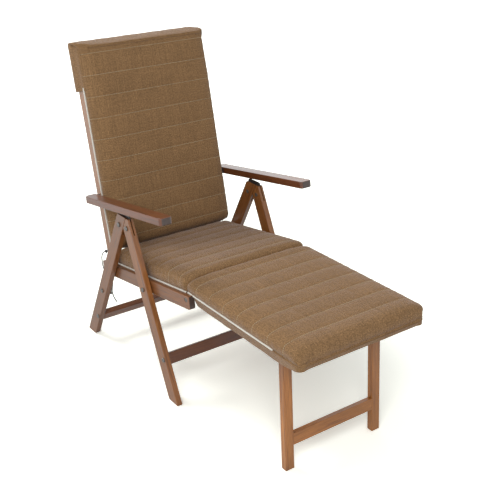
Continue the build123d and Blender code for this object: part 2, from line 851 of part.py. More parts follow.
def make_foot_cushion():
    """Foot section, cut along the crease with the seat section."""
    cushion = pad(
        footrest_hinge,
        -footrest_slope,
        foot_cushion_first,
        foot_cushion_last,
        footrest_rail_height / 2 + fit_gap,
        foot_cushion_height,
        foot_cushion_crown,
        foot_cushion_channels,
        0,
        foot_cushion_pinch,
    )
    return cushion - beyond(front_crease, front_crease_angle + 180, -crease_gap / 2)


def open_box(start, angle, low, high, first, last, half_width, wall, open_first, open_last):
    """A thin shell with side walls, open above and below, and at the named ends."""
    outer = across(plank(start, angle, first, last, low, high), -half_width, half_width)
    inner_first = first - cut_over if open_first else first + wall
    inner_last = last + cut_over if open_last else last - wall
    inner_side = plank(start, angle, inner_first, inner_last, low - cut_over, high + cut_over)
    return outer - across(inner_side, wall - half_width, half_width - wall)


def make_back_hood():
    """The pocket behind the cushion that slips over the stile tops."""
    first = back_cushion_last - hood_depth
    low = -stile_depth / 2 - hood_behind
    shell = across(
        plank(back_hinge, back_angle, first, back_cushion_last, low, stile_depth / 2),
        -cushion_half_width,
        cushion_half_width,
    )
    hollow = plank(
        back_hinge,
        back_angle,
        first - cut_over,
        back_cushion_last - hood_wall,
        low + hood_wall,
        stile_depth / 2 + cut_over,
    )
    return shell - across(hollow, hood_wall - cushion_half_width, cushion_half_width - hood_wall)


def make_foot_skirt():
    """The pocket below the foot section that hangs round the footrest frame."""
    high = footrest_rail_height / 2 + skirt_top_gap
    return open_box(
        footrest_hinge,
        -footrest_slope,
        high - skirt_drop,
        high,
        foot_cushion_first,
        skirt_rear,
        skirt_half_width,
        skirt_wall,
        False,
        True,
    )


def make_tie():
    """The tie: sewn end, knot and hanging tail; straight runs joined by wide arcs."""
    points = [Vector(*point) for point in tie_route]
    radii = []
    for before, corner, after in zip(points, points[1:], points[2:]):
        arrive = corner - before
        leave = after - corner
        turn = math.radians(arrive.get_angle(leave))
        shorter = min(arrive.length, leave.length)
        radii.append(tie_turn_share * shorter / math.tan(turn / 2))
    path = FilletPolyline(*points, radius=radii)
    start = Plane(origin=path @ 0, z_dir=path % 0)
    tube = sweep(start * Circle(tie_radius), path=path)
    knot = place(back_hinge, back_angle, tie_knot_up, -stile_depth / 2 - tie_knot_behind)
    print("tie radii", [round(radius, 1) for radius in radii], "length", round(path.length, 1))
    print("tie volume share", round(tube.volume / (path.length * math.pi * tie_radius**2), 4))
    return tube + Pos(tie_knot_x, knot.X, knot.Y) * Sphere(tie_knot_radius)


nodes = {}


def add_pair(name, right_or_left_solid):
    nodes[f"{name}_left"] = right_or_left_solid
    nodes[f"{name}_right"] = mirrored(right_or_left_solid)


add_pair("front_leg", make_front_leg())
add_pair("rear_leg", make_rear_leg())
nodes["front_stretcher"] = make_stretcher(front_stretcher_side)
nodes["rear_stretcher"] = make_stretcher(rear_stretcher_side)
nodes["front_stretcher_bolts"] = both(make_stretcher_screw(front_stretcher_bolt))
nodes["rear_stretcher_bolts"] = both(make_stretcher_screw(rear_stretcher_bolt))
nodes["front_leg_bolts"] = both(make_leg_bolt(front_pivot))
nodes["rear_leg_bolts"] = both(make_leg_bolt(rear_pivot))
nodes["seat_pivot_bolts"] = both(make_seat_pivot_bolt())
nodes["seat_rest_studs"] = both(make_stud())
add_pair("leg_bracket", make_bracket())
add_pair("seat_rail", make_seat_rail())
add_pair("seat_hook", make_seat_hook())
nodes.update(make_seat_slats())
nodes["seat_rear_cross_rail"] = make_seat_cross(
    seat_rear_cross_ahead, seat_bottom, seat_bottom + seat_rear_cross_height
)
nodes["back_hinge_bolts"] = both(make_back_hinge_bolt())
add_pair("back_stile", make_stile())
nodes.update(make_back_slats())
nodes["back_top_rail"] = make_back_top_rail()
add_pair("arm_hinge_bolt", make_arm_bolt())
add_pair("armrest", make_armrest())
add_pair("arm_rack", make_arm_rack())
add_pair("arm_hinge_plate", make_arm_plate())
add_pair("footrest_rail", make_footrest_rail())
add_pair("footrest_hinge_bolt", make_footrest_hinge_bolt())
nodes["footrest_end_rail"] = make_footrest_cross(footrest_rear_overhang - footrest_rail_length)
nodes.update(make_footrest_slats())
add_pair("footrest_leg", make_footrest_leg())
nodes["footrest_leg_bolts"] = both(make_footrest_leg_bolt())
nodes["footrest_leg_bar"] = make_footrest_bar()
nodes["seat_cushion"] = make_seat_cushion()
nodes["back_cushion"] = make_back_cushion()
nodes["foot_cushion"] = make_foot_cushion()
nodes["back_cushion_hood"] = make_back_hood()
nodes["foot_cushion_skirt"] = make_foot_skirt()
nodes["cushion_tie"] = make_tie()

# Pivots and contact points in side view, printed below in metres.
places = {
    "seat_pivot": seat_pivot,
    "front_pivot": front_pivot,
    "rear_pivot": rear_pivot,
    "back_hinge": back_hinge,
    "arm_hinge": arm_hinge,
    "footrest_hinge": footrest_hinge,
    "footrest_leg_pivot": footrest_leg_pivot,
    "stud": stud_centre,
    "tooth": tooth,
}
print("armrest turn", round(armrest_turn, 4), "ratio", round(armrest_ratio, 5))

# The origin is on the floor, under the middle of the chair's bounding box.
boxes = [solid.bounding_box() for solid in nodes.values()]
rearmost = max(box.max.Y for box in boxes)
foremost = min(box.min.Y for box in boxes)
shift_y = -(rearmost + foremost) / 2
shift = Pos(0, shift_y, 0)
print("shift", round(shift_y, 4), "length", round(rearmost - foremost, 3))
print("height", round(max(box.max.Z for box in boxes), 3), "floor", round(min(box.min.Z for box in boxes), 3))
for name, point in places.items():
    print(name, [0.0, round((point.X + shift_y) / 1000, 6), round(point.Y / 1000, 6)])
os.makedirs("parts", exist_ok=True)
for name, solid in nodes.items():
    export_step(shift * solid, f"parts/{name}.step")
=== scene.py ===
import bisect
import json
import math
import random

import bmesh
import bpy
from mathutils import Matrix, Vector, noise
from mathutils.bvhtree import BVHTree


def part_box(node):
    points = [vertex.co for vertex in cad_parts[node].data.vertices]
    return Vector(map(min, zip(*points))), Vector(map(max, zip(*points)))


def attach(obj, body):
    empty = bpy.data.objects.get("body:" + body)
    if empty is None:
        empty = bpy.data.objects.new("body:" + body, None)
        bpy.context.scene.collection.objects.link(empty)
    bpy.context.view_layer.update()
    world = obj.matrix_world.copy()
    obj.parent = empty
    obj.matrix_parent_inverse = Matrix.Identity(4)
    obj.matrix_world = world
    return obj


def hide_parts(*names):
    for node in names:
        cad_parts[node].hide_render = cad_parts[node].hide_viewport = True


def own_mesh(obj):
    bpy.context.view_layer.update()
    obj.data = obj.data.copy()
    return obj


# A folding wooden garden armchair with a reclining back, a footrest and a one-piece cushion.
# Everything is in metres, in the row frame: the sitter faces -Y, +Z is up, X runs across.
# Places along a section are s, along its heading, and v, out from its frame.
# A value named SHARE is a part of another size, and one named POWER shapes a curve.

SEED = 7

# Camera, solved from the parallel wooden edges of the photograph.
CAMERA_PLACE = (-1.58085, -2.22934, 1.74871)
CAMERA_TARGET = (0.0, 0.05163, 0.45)
CAMERA_ROLL = -0.001
CAMERA_LENS = 64.92
CAMERA_SENSOR = 36.0
CAMERA_SHIFT = (0.0538, 0.0007)
CAMERA_REACH = 60.0

# The loose tie at the sitter's right. The row frame lies ROUTE_SHIFT_Y behind the frame of its route.
TIE_RADIUS = 0.00175
TIE_ROUTE = [
    (-0.2352, 0.1710, 0.3760),
    (-0.2352, 0.2095, 0.3535),
    (-0.2382, 0.2290, 0.3410),
    (-0.2382, 0.2430, 0.3200),
    (-0.2382, 0.2410, 0.2900),
    (-0.2382, 0.2260, 0.2620),
    (-0.2382, 0.2000, 0.2360),
    (-0.2382, 0.1760, 0.2080),
    (-0.2382, 0.1650, 0.1820),
    (-0.2382, 0.1400, 0.1740),
]
ROUTE_SHIFT_Y = 0.2516309
KNOT_PLACE = (-0.2345, 0.052, -0.0275)
KNOT_STEPS = 72
KNOT_DEPTH = 0.0022
KNOT_SIZE = 0.0018
KNOT_RADIUS_SHARE = 0.95

# Slopes of the three sections and of the timbers, in degrees up from +Y.
SEAT_SLOPE = -9.92
BACK_SLOPE = 75.21
FOOT_SLOPE = -0.9
ARMREST_SLOPE = -10.2
FRONT_LEG_SLOPE = 63.5
REAR_LEG_SLOPE = 116.3
FOOTREST_LEG_SLOPE = 84.96

# Cushion sections: reach of each, its base over the frame, its height at the seam and its crown.
GRID_STEP = 0.0082
BASE_HALF = 0.237
BACK_FIRST = 0.059
BACK_LAST = 0.779
BACK_BASE = 0.0203
BACK_HEIGHT = 0.062
BACK_CROWN = 0.008
BACK_SEAM_HALF = 0.228
BACK_BASE_HALF = 0.229
BACK_LEAN = 0.36
SEAT_FIRST = -0.2265
SEAT_LAST = 0.286
SEAT_BASE = 0.0303
SEAT_HEIGHT = 0.055
SEAT_CROWN = 0.008
SEAT_SEAM_HALF = 0.238
SEAT_LEAN = -1.02
FOOT_FIRST = -0.535
FOOT_LAST = 0.016
FOOT_BASE = 0.0138
FOOT_HEIGHT = 0.044
FOOT_CROWN = 0.009
FOOT_SEAM_HALF = 0.241

# The back section widens downwards and leans to one side, as far as the armrest lets it.
BACK_SPREAD = 0.012
BACK_SPREAD_END = 0.35
BACK_SHIFT = 0.018
ARMREST_GAP = 0.005

# Form of a section's top, sides and ends.
SEAM_SHARE = 0.88
SEAM_POWER = 1.6
BASE_POWER = 6
SIDE_SWELL = 0.006
CROWN_POWER = 9.0
LEAN_POWER = 6
PILLOW = 0.0008
EDGE_SHARE = 0.05
GROOVE = 0.0018
GROOVE_WIDTH = 0.004
GROOVE_EDGE_SHARE = 0.45
GROOVE_SIDE_SHARE = 0.6
END_ROUND = 0.024
END_DROP = 0.011
END_DROP_POWER = 2.2
END_NARROWING = 0.003
END_BULGE = 0.006
END_BULGE_POWER = 4
DART_DEPTH = 0.007
DART_LOW_SHARE = 0.2
DART_HIGH_SHARE = 0.85
SIDE_PANEL_START = 0.31
END_PANEL_START = 0.47

# Cloth run, and the share of the covers' thickness meant to be left when the chair is folded.
CLOTH_FRAMES = 20
SEAM_HOLD_SHARE = 0.45
SWELL_LIMIT = 0.0012
FOLDED_SHARE = 0.3

# Sewn rows and their thread.
CHANNEL_PITCH = 0.0735
SEAT_PITCH = 0.072
FOOT_PITCH = 0.0723
BACK_STITCHES = [0.0935 + CHANNEL_PITCH * index for index in range(10)]
SEAT_STITCHES = [-0.190 + SEAT_PITCH * index for index in range(6)]
FOOT_STITCHES = [-0.474 + FOOT_PITCH * index for index in range(7)]
STITCH_EDGE = 0.022
STITCH_LENGTH = 0.0042
STITCH_LENGTH_SHARES = (0.85, 1.1)
STITCH_PITCH = 0.0062
STITCH_PITCH_SHARES = (0.96, 1.04)
STITCH_RADIUS = 0.0009
STITCH_SIDES = 5
STITCH_BEND_SHARES = (0.0, 0.25, 0.75, 1.0)
STITCH_LIFT_SHARE = 0.8
STITCH_END_SHARE = -0.7
STITCH_SINK_SHARE = 1.8

# Piping.
PIPING_RADIUS = 0.0030
PIPING_OUT = 0.0013
PIPING_LIFT = 0.0015
BACK_PIPING_LIFT = 0.0105
PIPING_SWAY = 0.0007

# Hood over the stile tops.
HOOD_DEPTH = 0.170
HOOD_TOP = 0.801
HOOD_HEM = HOOD_TOP - HOOD_DEPTH
HOOD_FALL = 0.020
HOOD_REAR = -0.026
HOOD_HALF = 0.2405
HOOD_FLARE = 0.003
HOOD_FOLLOW_RATE = 2.5
HOOD_CORNER = 0.011
HOOD_CORNER_LIFT = 0.004
HOOD_CROWN = 0.003
HOOD_TUCK = 0.026
HOOD_TUCK_POWER = 1.6
HOOD_REAR_TUCK = 0.002
HOOD_EDGE = 0.019
HOOD_EDGE_START = 0.003
HOOD_EDGE_TUCK = 0.003
HOOD_EDGE_POWER = 3
HOOD_SEAM_GAP = 0.001
HOOD_LIP = 0.004
HOOD_LIP_FALL_SHARE = 1.6
HOOD_WALL = 0.0025
HOOD_HOLLOW = 0.0015
HOOD_RIPPLE = 0.0022
HOOD_SIDE_RIPPLE = 0.6
GATHER_HEIGHT = 0.0045
GATHER_WIDTH_SHARE = 0.035
GATHER_LEVEL = 0.6
HOOD_COLUMNS = 60
HOOD_SIDES = 6
HOOD_TURN_ROWS = 5
HOOD_TOP_ROWS = 11
HOOD_LIP_ROWS = 4
WELT_RADIUS = 0.0022
HOOD_WELT_SUNK = 0.001
HOOD_WELT_SWAY = 0.0012

# Pocket round the footrest frame, the seam over it and the panel that closes it below.
POCKET_TOP_HALF = 0.2385
POCKET_LOW_HALF = 0.2215
POCKET_REAR = -0.014
POCKET_START = -0.410
POCKET_LOW = -0.0268
POCKET_END_LOW = -0.0020
POCKET_RISE_POWER = 1.3
POCKET_WALL = 0.0022
POCKET_CORNER = 0.020
POCKET_CORNER_MARGIN = 0.012
POCKET_ROWS = 9
POCKET_TUCKS = (0.0075, 0.0035, 0.0)
POCKET_TUCK_SHARE = 1.1
POCKET_END_LEAN = 0.004
POCKET_RIPPLE = 0.0018
POCKET_OUT = 0.0035
POCKET_WELT_OUT = 0.0045
POCKET_WELT_OVERLAP = 0.012
POCKET_WELT_DROP = 0.001
PANEL_IN = 0.002
PANEL_SAG = 0.002
PANEL_LIFT = 0.0015
PANEL_COLUMNS = 40
PANEL_ROWS = 10

# Each run of piping, from one of its ends to the other.
BACK_PIPING = (BACK_FIRST + 0.004, HOOD_HEM + 0.012)
SEAT_PIPING = (SEAT_FIRST + 0.011, SEAT_LAST - 0.010)
FOOT_PIPING = (FOOT_LAST - 0.002, POCKET_START - 0.010)

# A tube's rounded end, as a share of its radius.
CAP_SHARE = 0.7

# Colours, linear. Each wood colour is that of mahogany, and then what warmth adds to it.
WOOD_DARK = ((0.088, 0.021, 0.007), (0.020, 0.016, 0.002))
WOOD_MIDDLE = ((0.175, 0.046, 0.011), (0.035, 0.034, 0.006))
WOOD_LIGHT = ((0.280, 0.086, 0.023), (0.050, 0.058, 0.014))
WOOD_END = (0.055, 0.036, 0.030)
WOOD_WORN = (0.36, 0.19, 0.095)
FABRIC = (0.252, 0.145, 0.066)
FABRIC_SHEEN = (0.86, 0.80, 0.84)
THREAD = (0.56, 0.45, 0.29)
PIPING = (0.74, 0.72, 0.65)
CORD = (0.035, 0.025, 0.020)
STEEL_WORN = (0.22, 0.21, 0.20)
WHITE = (1.0, 1.0, 1.0)

# Grain heading, tone and warmth of each timber. At None the grain runs across the chair.
TIMBERS = {
    "front_leg_": (FRONT_LEG_SLOPE, 1.20, 0.8),
    "rear_leg_": (REAR_LEG_SLOPE, 0.95, 0.7),
    "seat_rail_": (SEAT_SLOPE, 0.86, 0.7),
    "back_stile_": (BACK_SLOPE, 1.18, 0.9),
    "armrest_": (ARMREST_SLOPE, 0.72, 0.1),
    "footrest_rail_": (FOOT_SLOPE, 1.1, 0.6),
    "footrest_leg_": (FOOTREST_LEG_SLOPE, 1.78, 0.95),
    "footrest_leg_bar": (None, 1.68, 0.95),
    "front_stretcher": (None, 0.62, 0.2),
    "rear_stretcher": (None, 0.75, 0.3),
    "seat_slat_": (None, 1.0, 0.5),
    "seat_rear_cross_rail": (None, 0.9, 0.5),
    "back_slat_": (None, 1.0, 0.5),
    "back_top_rail": (None, 0.95, 0.5),
    "footrest_slat_": (None, 1.05, 0.5),
    "footrest_end_rail": (None, 1.0, 0.5),
}

# Floor as the camera sees it and as light meets it, and the glow added near the chair and far from it.
FLOOR_REACH = 9.0
FLOOR_SEEN = (1.40, 1.44, 1.34)
FLOOR_PLAIN = (0.80, 0.80, 0.78)
FLOOR_LIFT = 0.10
FLOOR_FAR_LIFT = 0.6
FLOOR_FAR = (1.3, 2.4)
WORLD_LEVEL = 0.52
WORLD_SEEN = 1.0

random.seed(SEED)
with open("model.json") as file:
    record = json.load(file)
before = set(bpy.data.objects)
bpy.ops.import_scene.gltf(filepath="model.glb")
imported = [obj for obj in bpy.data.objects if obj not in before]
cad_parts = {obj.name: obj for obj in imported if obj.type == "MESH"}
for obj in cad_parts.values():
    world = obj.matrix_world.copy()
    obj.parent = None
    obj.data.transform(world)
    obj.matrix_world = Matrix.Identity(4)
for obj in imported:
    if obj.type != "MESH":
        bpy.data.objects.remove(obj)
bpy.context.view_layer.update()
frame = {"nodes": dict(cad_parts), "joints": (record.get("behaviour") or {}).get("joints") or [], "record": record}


def joint_place(name):
    """Where a joint's axis stands in side view."""
    found = [joint for joint in frame["joints"] if joint["name"] == name][0]
    return Vector((0.0, found["pos_m"][1], found["pos_m"][2]))


class Section:
    """A flat frame in side view: s runs along its heading and v stands out from it."""

    def __init__(self, origin, slope):
        angle = math.radians(slope)
        self.origin = origin
        self.along = Vector((0.0, math.cos(angle), math.sin(angle)))
        self.out = Vector((0.0, -math.sin(angle), math.cos(angle)))

    def point(self, x, s, v):
        return self.origin + Vector((x, 0.0, 0.0)) + self.along * s + self.out * v


BACK = Section(joint_place("recline"), BACK_SLOPE)
SEAT = Section(joint_place("fold"), SEAT_SLOPE)
FOOT = Section(joint_place("footrest_tilt"), FOOT_SLOPE)
ARMREST_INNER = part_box("armrest_left")[0][0]


# Camera

def add_object(name, data):
    made = bpy.data.objects.new(name, data)
    bpy.context.scene.collection.objects.link(made)
    return made


def aim(made, place, target, roll=0.0):
    """Stands a camera or a lamp at a place and turns it to a target."""
    sight = Vector(target) - Vector(place)
    turn = sight.to_track_quat("-Z", "Y").to_matrix().to_4x4() @ Matrix.Rotation(roll, 4, "Z")
    made.matrix_world = Matrix.Translation(place) @ turn


def make_camera():
    camera = bpy.data.cameras.new("camera")
    camera.sensor_width = CAMERA_SENSOR
    camera.lens = CAMERA_LENS
    camera.shift_x, camera.shift_y = CAMERA_SHIFT
    camera.clip_end = CAMERA_REACH
    bpy.context.scene.camera = add_object("camera", camera)
    aim(bpy.context.scene.camera, CAMERA_PLACE, CAMERA_TARGET, CAMERA_ROLL)


make_camera()


# Materials: small helpers, then one function for each material

class Nodes:
    """A node tree with short names for the nodes that the scene needs."""

    def __init__(self, tree):
        self.tree = tree

    def node(self, kind, **settings):
        made = self.tree.nodes.new(kind)
        for key, value in settings.items():
            setattr(made, key, value)
        return made

    def feed(self, value, socket):
        """Links an output to a socket, or writes a plain value on it."""
        if isinstance(value, bpy.types.NodeSocket):
            self.tree.links.new(value, socket)
        elif socket.type == "RGBA":
            socket.default_value = (*value, 1.0)
        else:
            socket.default_value = value

    def write(self, made, **values):
        """Feeds a node's inputs by name: from_min is the one called From Min."""
        for key, value in values.items():
            self.feed(value, made.inputs[key.replace("_", " ").title().replace("Ior", "IOR")])

    def math(self, operation, first, second=0.0, clamp=False):
        made = self.node("ShaderNodeMath", operation=operation, use_clamp=clamp)
        self.feed(first, made.inputs[0])
        self.feed(second, made.inputs[1])
        return made.outputs[0]

    def agreement(self, first, second):
        """How far two directions agree: 1 where they are the same."""
        made = self.node("ShaderNodeVectorMath", operation="DOT_PRODUCT")
        self.feed(first, made.inputs[0])
        self.feed(second, made.inputs[1])
        return made.outputs["Value"]

    def mapping(self, vector, scale=(1, 1, 1), rotation=(0, 0, 0), location=(0, 0, 0)):
        made = self.node("ShaderNodeMapping")
        self.write(made, vector=vector, scale=scale, rotation=rotation, location=location)
        return made.outputs["Vector"]

    def noise(self, vector, scale, stretch=None, detail=3.0, roughness=0.5, distortion=0.0):
        if stretch:
            vector = self.mapping(vector, scale=stretch)
        made = self.node("ShaderNodeTexNoise")
        self.write(made, vector=vector, scale=scale, detail=detail)
        self.write(made, roughness=roughness, distortion=distortion)
        return made.outputs["Fac"]

    def wave(self, vector, direction, **values):
        """Bands across one direction."""
        made = self.node("ShaderNodeTexWave", wave_type="BANDS", bands_direction=direction)
        self.write(made, vector=vector, **values)
        return made.outputs["Fac"]

    def ramp(self, factor, stops):
        made = self.node("ShaderNodeValToRGB")
        self.write(made, fac=factor)
        line = made.color_ramp
        while len(line.elements) < len(stops):
            line.elements.new(0.5)
        for element, (place, colour) in zip(line.elements, stops):
            element.position = place
            element.color = (*colour, 1.0)
        return made.outputs["Color"]

    def spread(self, factor, low, high, to_low=0.0, to_high=1.0):
        """A factor's range stretched over another range, and held within it."""
        made = self.node("ShaderNodeMapRange")
        self.write(made, value=factor, from_min=low, from_max=high, to_min=to_low, to_max=to_high)
        return made.outputs["Result"]

    def mix(self, factor, first, second):
        made = self.node("ShaderNodeMix", data_type="RGBA")
        self.write(made, factor=factor, a=first, b=second)
        return made.outputs["Result"]

    def mottled(self, colour, factor, darkest, lightest, low=0.3, high=0.7):
        """A colour made darker and lighter by a factor's range."""
        made = self.node("ShaderNodeVectorMath", operation="SCALE")
        self.write(made, vector=colour, scale=self.spread(factor, low, high, darkest, lightest))
        return made.outputs["Vector"]

    def edges(self, radius):
        """1 on flat faces, less where the surface turns a corner."""
        bevel = self.node("ShaderNodeBevel", samples=4)
        self.write(bevel, radius=radius)
        plain = self.node("ShaderNodeNewGeometry")
        return self.agreement(bevel.outputs["Normal"], plain.outputs["Normal"])

    def rays(self, *kinds):
        """1 where the ray is of one of these kinds."""
        path = self.node("ShaderNodeLightPath")
        found = path.outputs[kinds[0]]
        for kind in kinds[1:]:
            found = self.math("MAXIMUM", found, path.outputs[kind])
        return found


class Shader(Nodes):
    """The node tree of a new material."""

    def __init__(self, name):
        self.material = bpy.data.materials.new(name)
        self.material.use_nodes = True
        super().__init__(self.material.node_tree)
        self.surface = self.tree.nodes["Principled BSDF"]

    def set(self, **values):
        self.write(self.surface, **values)

    def bump(self, height, strength, distance):
        made = self.node("ShaderNodeBump")
        self.write(made, height=height, strength=strength, distance=distance)
        self.set(normal=made.outputs["Normal"])


def wood_material(name, slope, tone, warmth):
    """Oiled hardwood, from mahogany red to warm orange, with its grain along a heading or across."""
    shader = Shader(name)
    places = shader.node("ShaderNodeTexCoord")
    offset = shader.math("MULTIPLY", shader.node("ShaderNodeObjectInfo").outputs["Random"], 9.0)
    shift = shader.node("ShaderNodeCombineXYZ")
    shader.write(shift, x=offset, y=offset, z=offset)
    if slope is None:
        turn = (0.0, 0.0, math.pi / 2)
        grain = Vector((1.0, 0.0, 0.0))
    else:
        turn = (-math.radians(slope), 0.0, 0.0)
        grain = Vector((0.0, math.cos(math.radians(slope)), math.sin(math.radians(slope))))
    local = shader.mapping(places.outputs["Object"], rotation=turn, location=shift.outputs["Vector"])
    bands = shader.noise(local, 95.0, stretch=(1.0, 0.05, 1.0), detail=6.0, roughness=0.62, distortion=0.6)
    pores = shader.noise(local, 900.0, stretch=(1.0, 0.025, 1.0), detail=2.0, roughness=0.6)
    clouds = shader.noise(local, 14.0, stretch=(1.0, 0.25, 1.0), detail=2.0)
    dark, middle, light = (
        tuple((plain + warmth * more) * tone for plain, more in zip(*pair))
        for pair in (WOOD_DARK, WOOD_MIDDLE, WOOD_LIGHT)
    )
    colour = shader.ramp(bands, [(0.30, dark), (0.48, middle), (0.60, middle), (0.74, light)])
    colour = shader.mottled(colour, clouds, darkest=0.78, lightest=1.22)
    colour = shader.mottled(colour, pores, darkest=0.72, lightest=1.04, low=0.35, high=0.55)
    facing = shader.agreement(places.outputs["Normal"], grain)
    end_share = shader.spread(shader.math("ABSOLUTE", facing), low=0.80, high=0.93)
    rings = shader.noise(local, 420.0, stretch=(1.0, 0.3, 0.3), roughness=0.6)
    colour = shader.mix(end_share, colour, shader.mottled(WOOD_END, rings, darkest=0.7, lightest=1.3))
    corner = shader.spread(shader.edges(radius=0.0022), low=0.80, high=0.985, to_low=1.0, to_high=0.0)
    ragged = shader.noise(local, 60.0, detail=4.0, roughness=0.7)
    worn = shader.math("MULTIPLY", corner, shader.spread(ragged, low=0.42, high=0.66), clamp=True)
    colour = shader.mix(worn, colour, tuple(value * tone for value in WOOD_WORN))
    rough = shader.spread(bands, low=0.3, high=0.7, to_low=0.30, to_high=0.44)
    shader.set(base_color=colour, roughness=rough, specular_ior_level=0.5)
    shader.set(coat_weight=0.35, coat_roughness=0.18)
    height = shader.math("ADD", pores, shader.math("MULTIPLY", bands, 0.5))
    shader.bump(height, strength=0.25, distance=0.0006)
    return shader.material


def fabric_material(name, colour):
    """Woven cover with thick and thin yarns. Its weave follows the cloth, not the room."""
    shader = Shader(name)
    weave = shader.node("ShaderNodeUVMap", uv_map="weave").outputs["UV"]
    fine_across = shader.noise(weave, 1.0, stretch=(900.0, 30.0, 1.0), detail=2.0, roughness=0.6)
    fine_along = shader.noise(weave, 1.0, stretch=(30.0, 900.0, 1.0), detail=2.0, roughness=0.6)
    slubs_across = shader.noise(weave, 1.0, stretch=(260.0, 9.0, 1.0), detail=2.0, roughness=0.55)
    slubs_along = shader.noise(weave, 1.0, stretch=(9.0, 260.0, 1.0), detail=2.0, roughness=0.55)
    specks = shader.noise(weave, 230.0, detail=4.0, roughness=0.75)
    clouds = shader.noise(weave, 7.0, roughness=0.55)
    warp, weft = (
        shader.wave(weave, direction, scale=260.0, distortion=1.2, detail=1.0, detail_scale=0.3)
        for direction in ("X", "Y")
    )
    # The yarn crossings: as colour they put painted shade in the gaps between the yarns, and they also raise the
    # bumps.
    knit = shader.math("MULTIPLY", warp, weft)
    dark = tuple(value * 0.62 for value in colour)
    light = tuple(min(1.0, value * 1.46) for value in colour)
    tint = shader.ramp(specks, [(0.36, dark), (0.50, colour), (0.64, light)])
    for factor, darkest, lightest, low, high in (
        (fine_across, 0.86, 1.14, 0.3, 0.7),
        (fine_along, 0.88, 1.12, 0.3, 0.7),
        (slubs_across, 0.88, 1.13, 0.32, 0.68),
        (slubs_along, 0.93, 1.09, 0.3, 0.72),
        (clouds, 0.94, 1.06, 0.3, 0.7),
        (knit, 0.84, 1.08, 0.0, 0.6),
    ):
        tint = shader.mottled(tint, factor, darkest, lightest, low, high)
    shader.set(base_color=tint, roughness=0.92, specular_ior_level=0.22)
    shader.set(sheen_weight=0.32, sheen_roughness=0.32, sheen_tint=FABRIC_SHEEN)
    height = shader.math("ADD", knit, shader.math("MULTIPLY", slubs_across, 1.4))
    shader.bump(shader.math("ADD", height, specks), strength=0.42, distance=0.0009)
    return shader.material


def cord_material(name, colour, pitch, groove_shade):
    """Twisted or woven yarn, by a slanting wave in the piece's own places, with painted shade in the grooves
    between its strands.
    """
    shader = Shader(name)
    places = shader.node("ShaderNodeTexCoord").outputs["Object"]
    turned = shader.mapping(places, rotation=(0.6, 0.5, 0.7))
    strands = shader.wave(turned, "X", scale=pitch, distortion=1.5)
    fine = shader.noise(places, 700.0, roughness=0.7)
    # Painted shade: the grooves between the strands are drawn darker than the yarn itself.
    tint = shader.ramp(strands, [(0.0, tuple(value * groove_shade for value in colour)), (0.7, colour)])
    tint = shader.mottled(tint, fine, darkest=0.85, lightest=1.12)
    shader.set(base_color=tint, roughness=0.85, specular_ior_level=0.25, sheen_weight=0.15)
    shader.bump(shader.math("ADD", strands, fine), strength=0.5, distance=0.0005)
    return shader.material


def zinc_material():
    shader = Shader("zinc")
    places = shader.node("ShaderNodeTexCoord").outputs["Object"]
    clouds = shader.noise(places, 260.0, detail=4.0, roughness=0.65)
    scratches = shader.noise(places, 500.0, stretch=(1.0, 14.0, 1.0), detail=2.0, roughness=0.6)
    stops = [(0.32, (0.10, 0.095, 0.09)), (0.56, (0.20, 0.19, 0.18)), (0.75, (0.30, 0.285, 0.27))]
    rough = shader.spread(scratches, low=0.3, high=0.7, to_low=0.34, to_high=0.58)
    shader.set(base_color=shader.ramp(clouds, stops), roughness=rough, metallic=0.9)
    shader.bump(scratches, strength=0.2, distance=0.0003)
    return shader.material


def steel_material():
    shader = Shader("black_steel")
    places = shader.node("ShaderNodeTexCoord").outputs["Object"]
    clouds = shader.noise(places, 160.0, detail=4.0, roughness=0.6)
    colour = shader.ramp(clouds, [(0.35, (0.010, 0.010, 0.011)), (0.7, (0.030, 0.030, 0.032))])
    corner = shader.spread(shader.edges(radius=0.0009), low=0.75, high=0.98, to_low=1.0, to_high=0.0)
    worn = shader.math("MULTIPLY", corner, shader.spread(clouds, low=0.45, high=0.62), clamp=True)
    rough = shader.spread(clouds, low=0.3, high=0.7, to_low=0.32, to_high=0.5)
    shader.set(base_color=shader.mix(worn, colour, STEEL_WORN), roughness=rough)
    shader.set(coat_weight=0.25, coat_roughness=0.3)
    shader.bump(clouds, strength=0.15, distance=0.0003)
    return shader.material


COVER_MATERIAL = fabric_material("cover", FABRIC)
# The last number of each cord sets how dark its painted shade between the strands is.
THREAD_MATERIAL = cord_material("thread", THREAD, pitch=900.0, groove_shade=0.6)
PIPING_MATERIAL = cord_material("piping", PIPING, pitch=320.0, groove_shade=0.86)
TIE_MATERIAL = cord_material("tie", CORD, pitch=420.0, groove_shade=0.45)
SLOT_MATERIALS = {
    "cushion_fabric": COVER_MATERIAL,
    "tie_cord": TIE_MATERIAL,
    "zinc_steel": zinc_material(),
    "black_steel": steel_material(),
}


def dress_cad_nodes():
    """Gives each solid its finish, with the woods told apart by the longest name that fits."""
    slots = {part["node"]: part["material_slot"] for part in frame["record"]["subparts"]}
    woods = {}
    for name, node in frame["nodes"].items():
        material = SLOT_MATERIALS.get(slots[name])
        if material is None:
            key = max((key for key in TIMBERS if name.startswith(key)), key=len)
            if key not in woods:
                woods[key] = wood_material(f"wood_{key.strip('_')}", *TIMBERS[key])
            material = woods[key]
        node.data.materials.clear()
        node.data.materials.append(material)


dress_cad_nodes()


# Mesh helpers

def new_object(name, points, faces, material, smooth=True):
    mesh = bpy.data.meshes.new(name)
    mesh.from_pydata(points, [], faces)
    mesh.update()
    mesh.materials.append(material)
    if smooth:
        mesh.polygons.foreach_set("use_smooth", [True] * len(mesh.polygons))
    return add_object(name, mesh)


def face_outwards(made):
    work = bmesh.new()
    work.from_mesh(made.data)
    bmesh.ops.recalc_face_normals(work, faces=work.faces)
    work.to_mesh(made.data)
    work.free()


def weave_map(made, places):
    """Cloth coordinates, in metres, from one (u, v) pair for each corner of each face."""
    layer = made.data.uv_layers.new(name="weave")
    for polygon in made.data.polygons:
        for corner in polygon.loop_indices:
            layer.data[corner].uv = places(polygon, made.data.loops[corner].vertex_index)


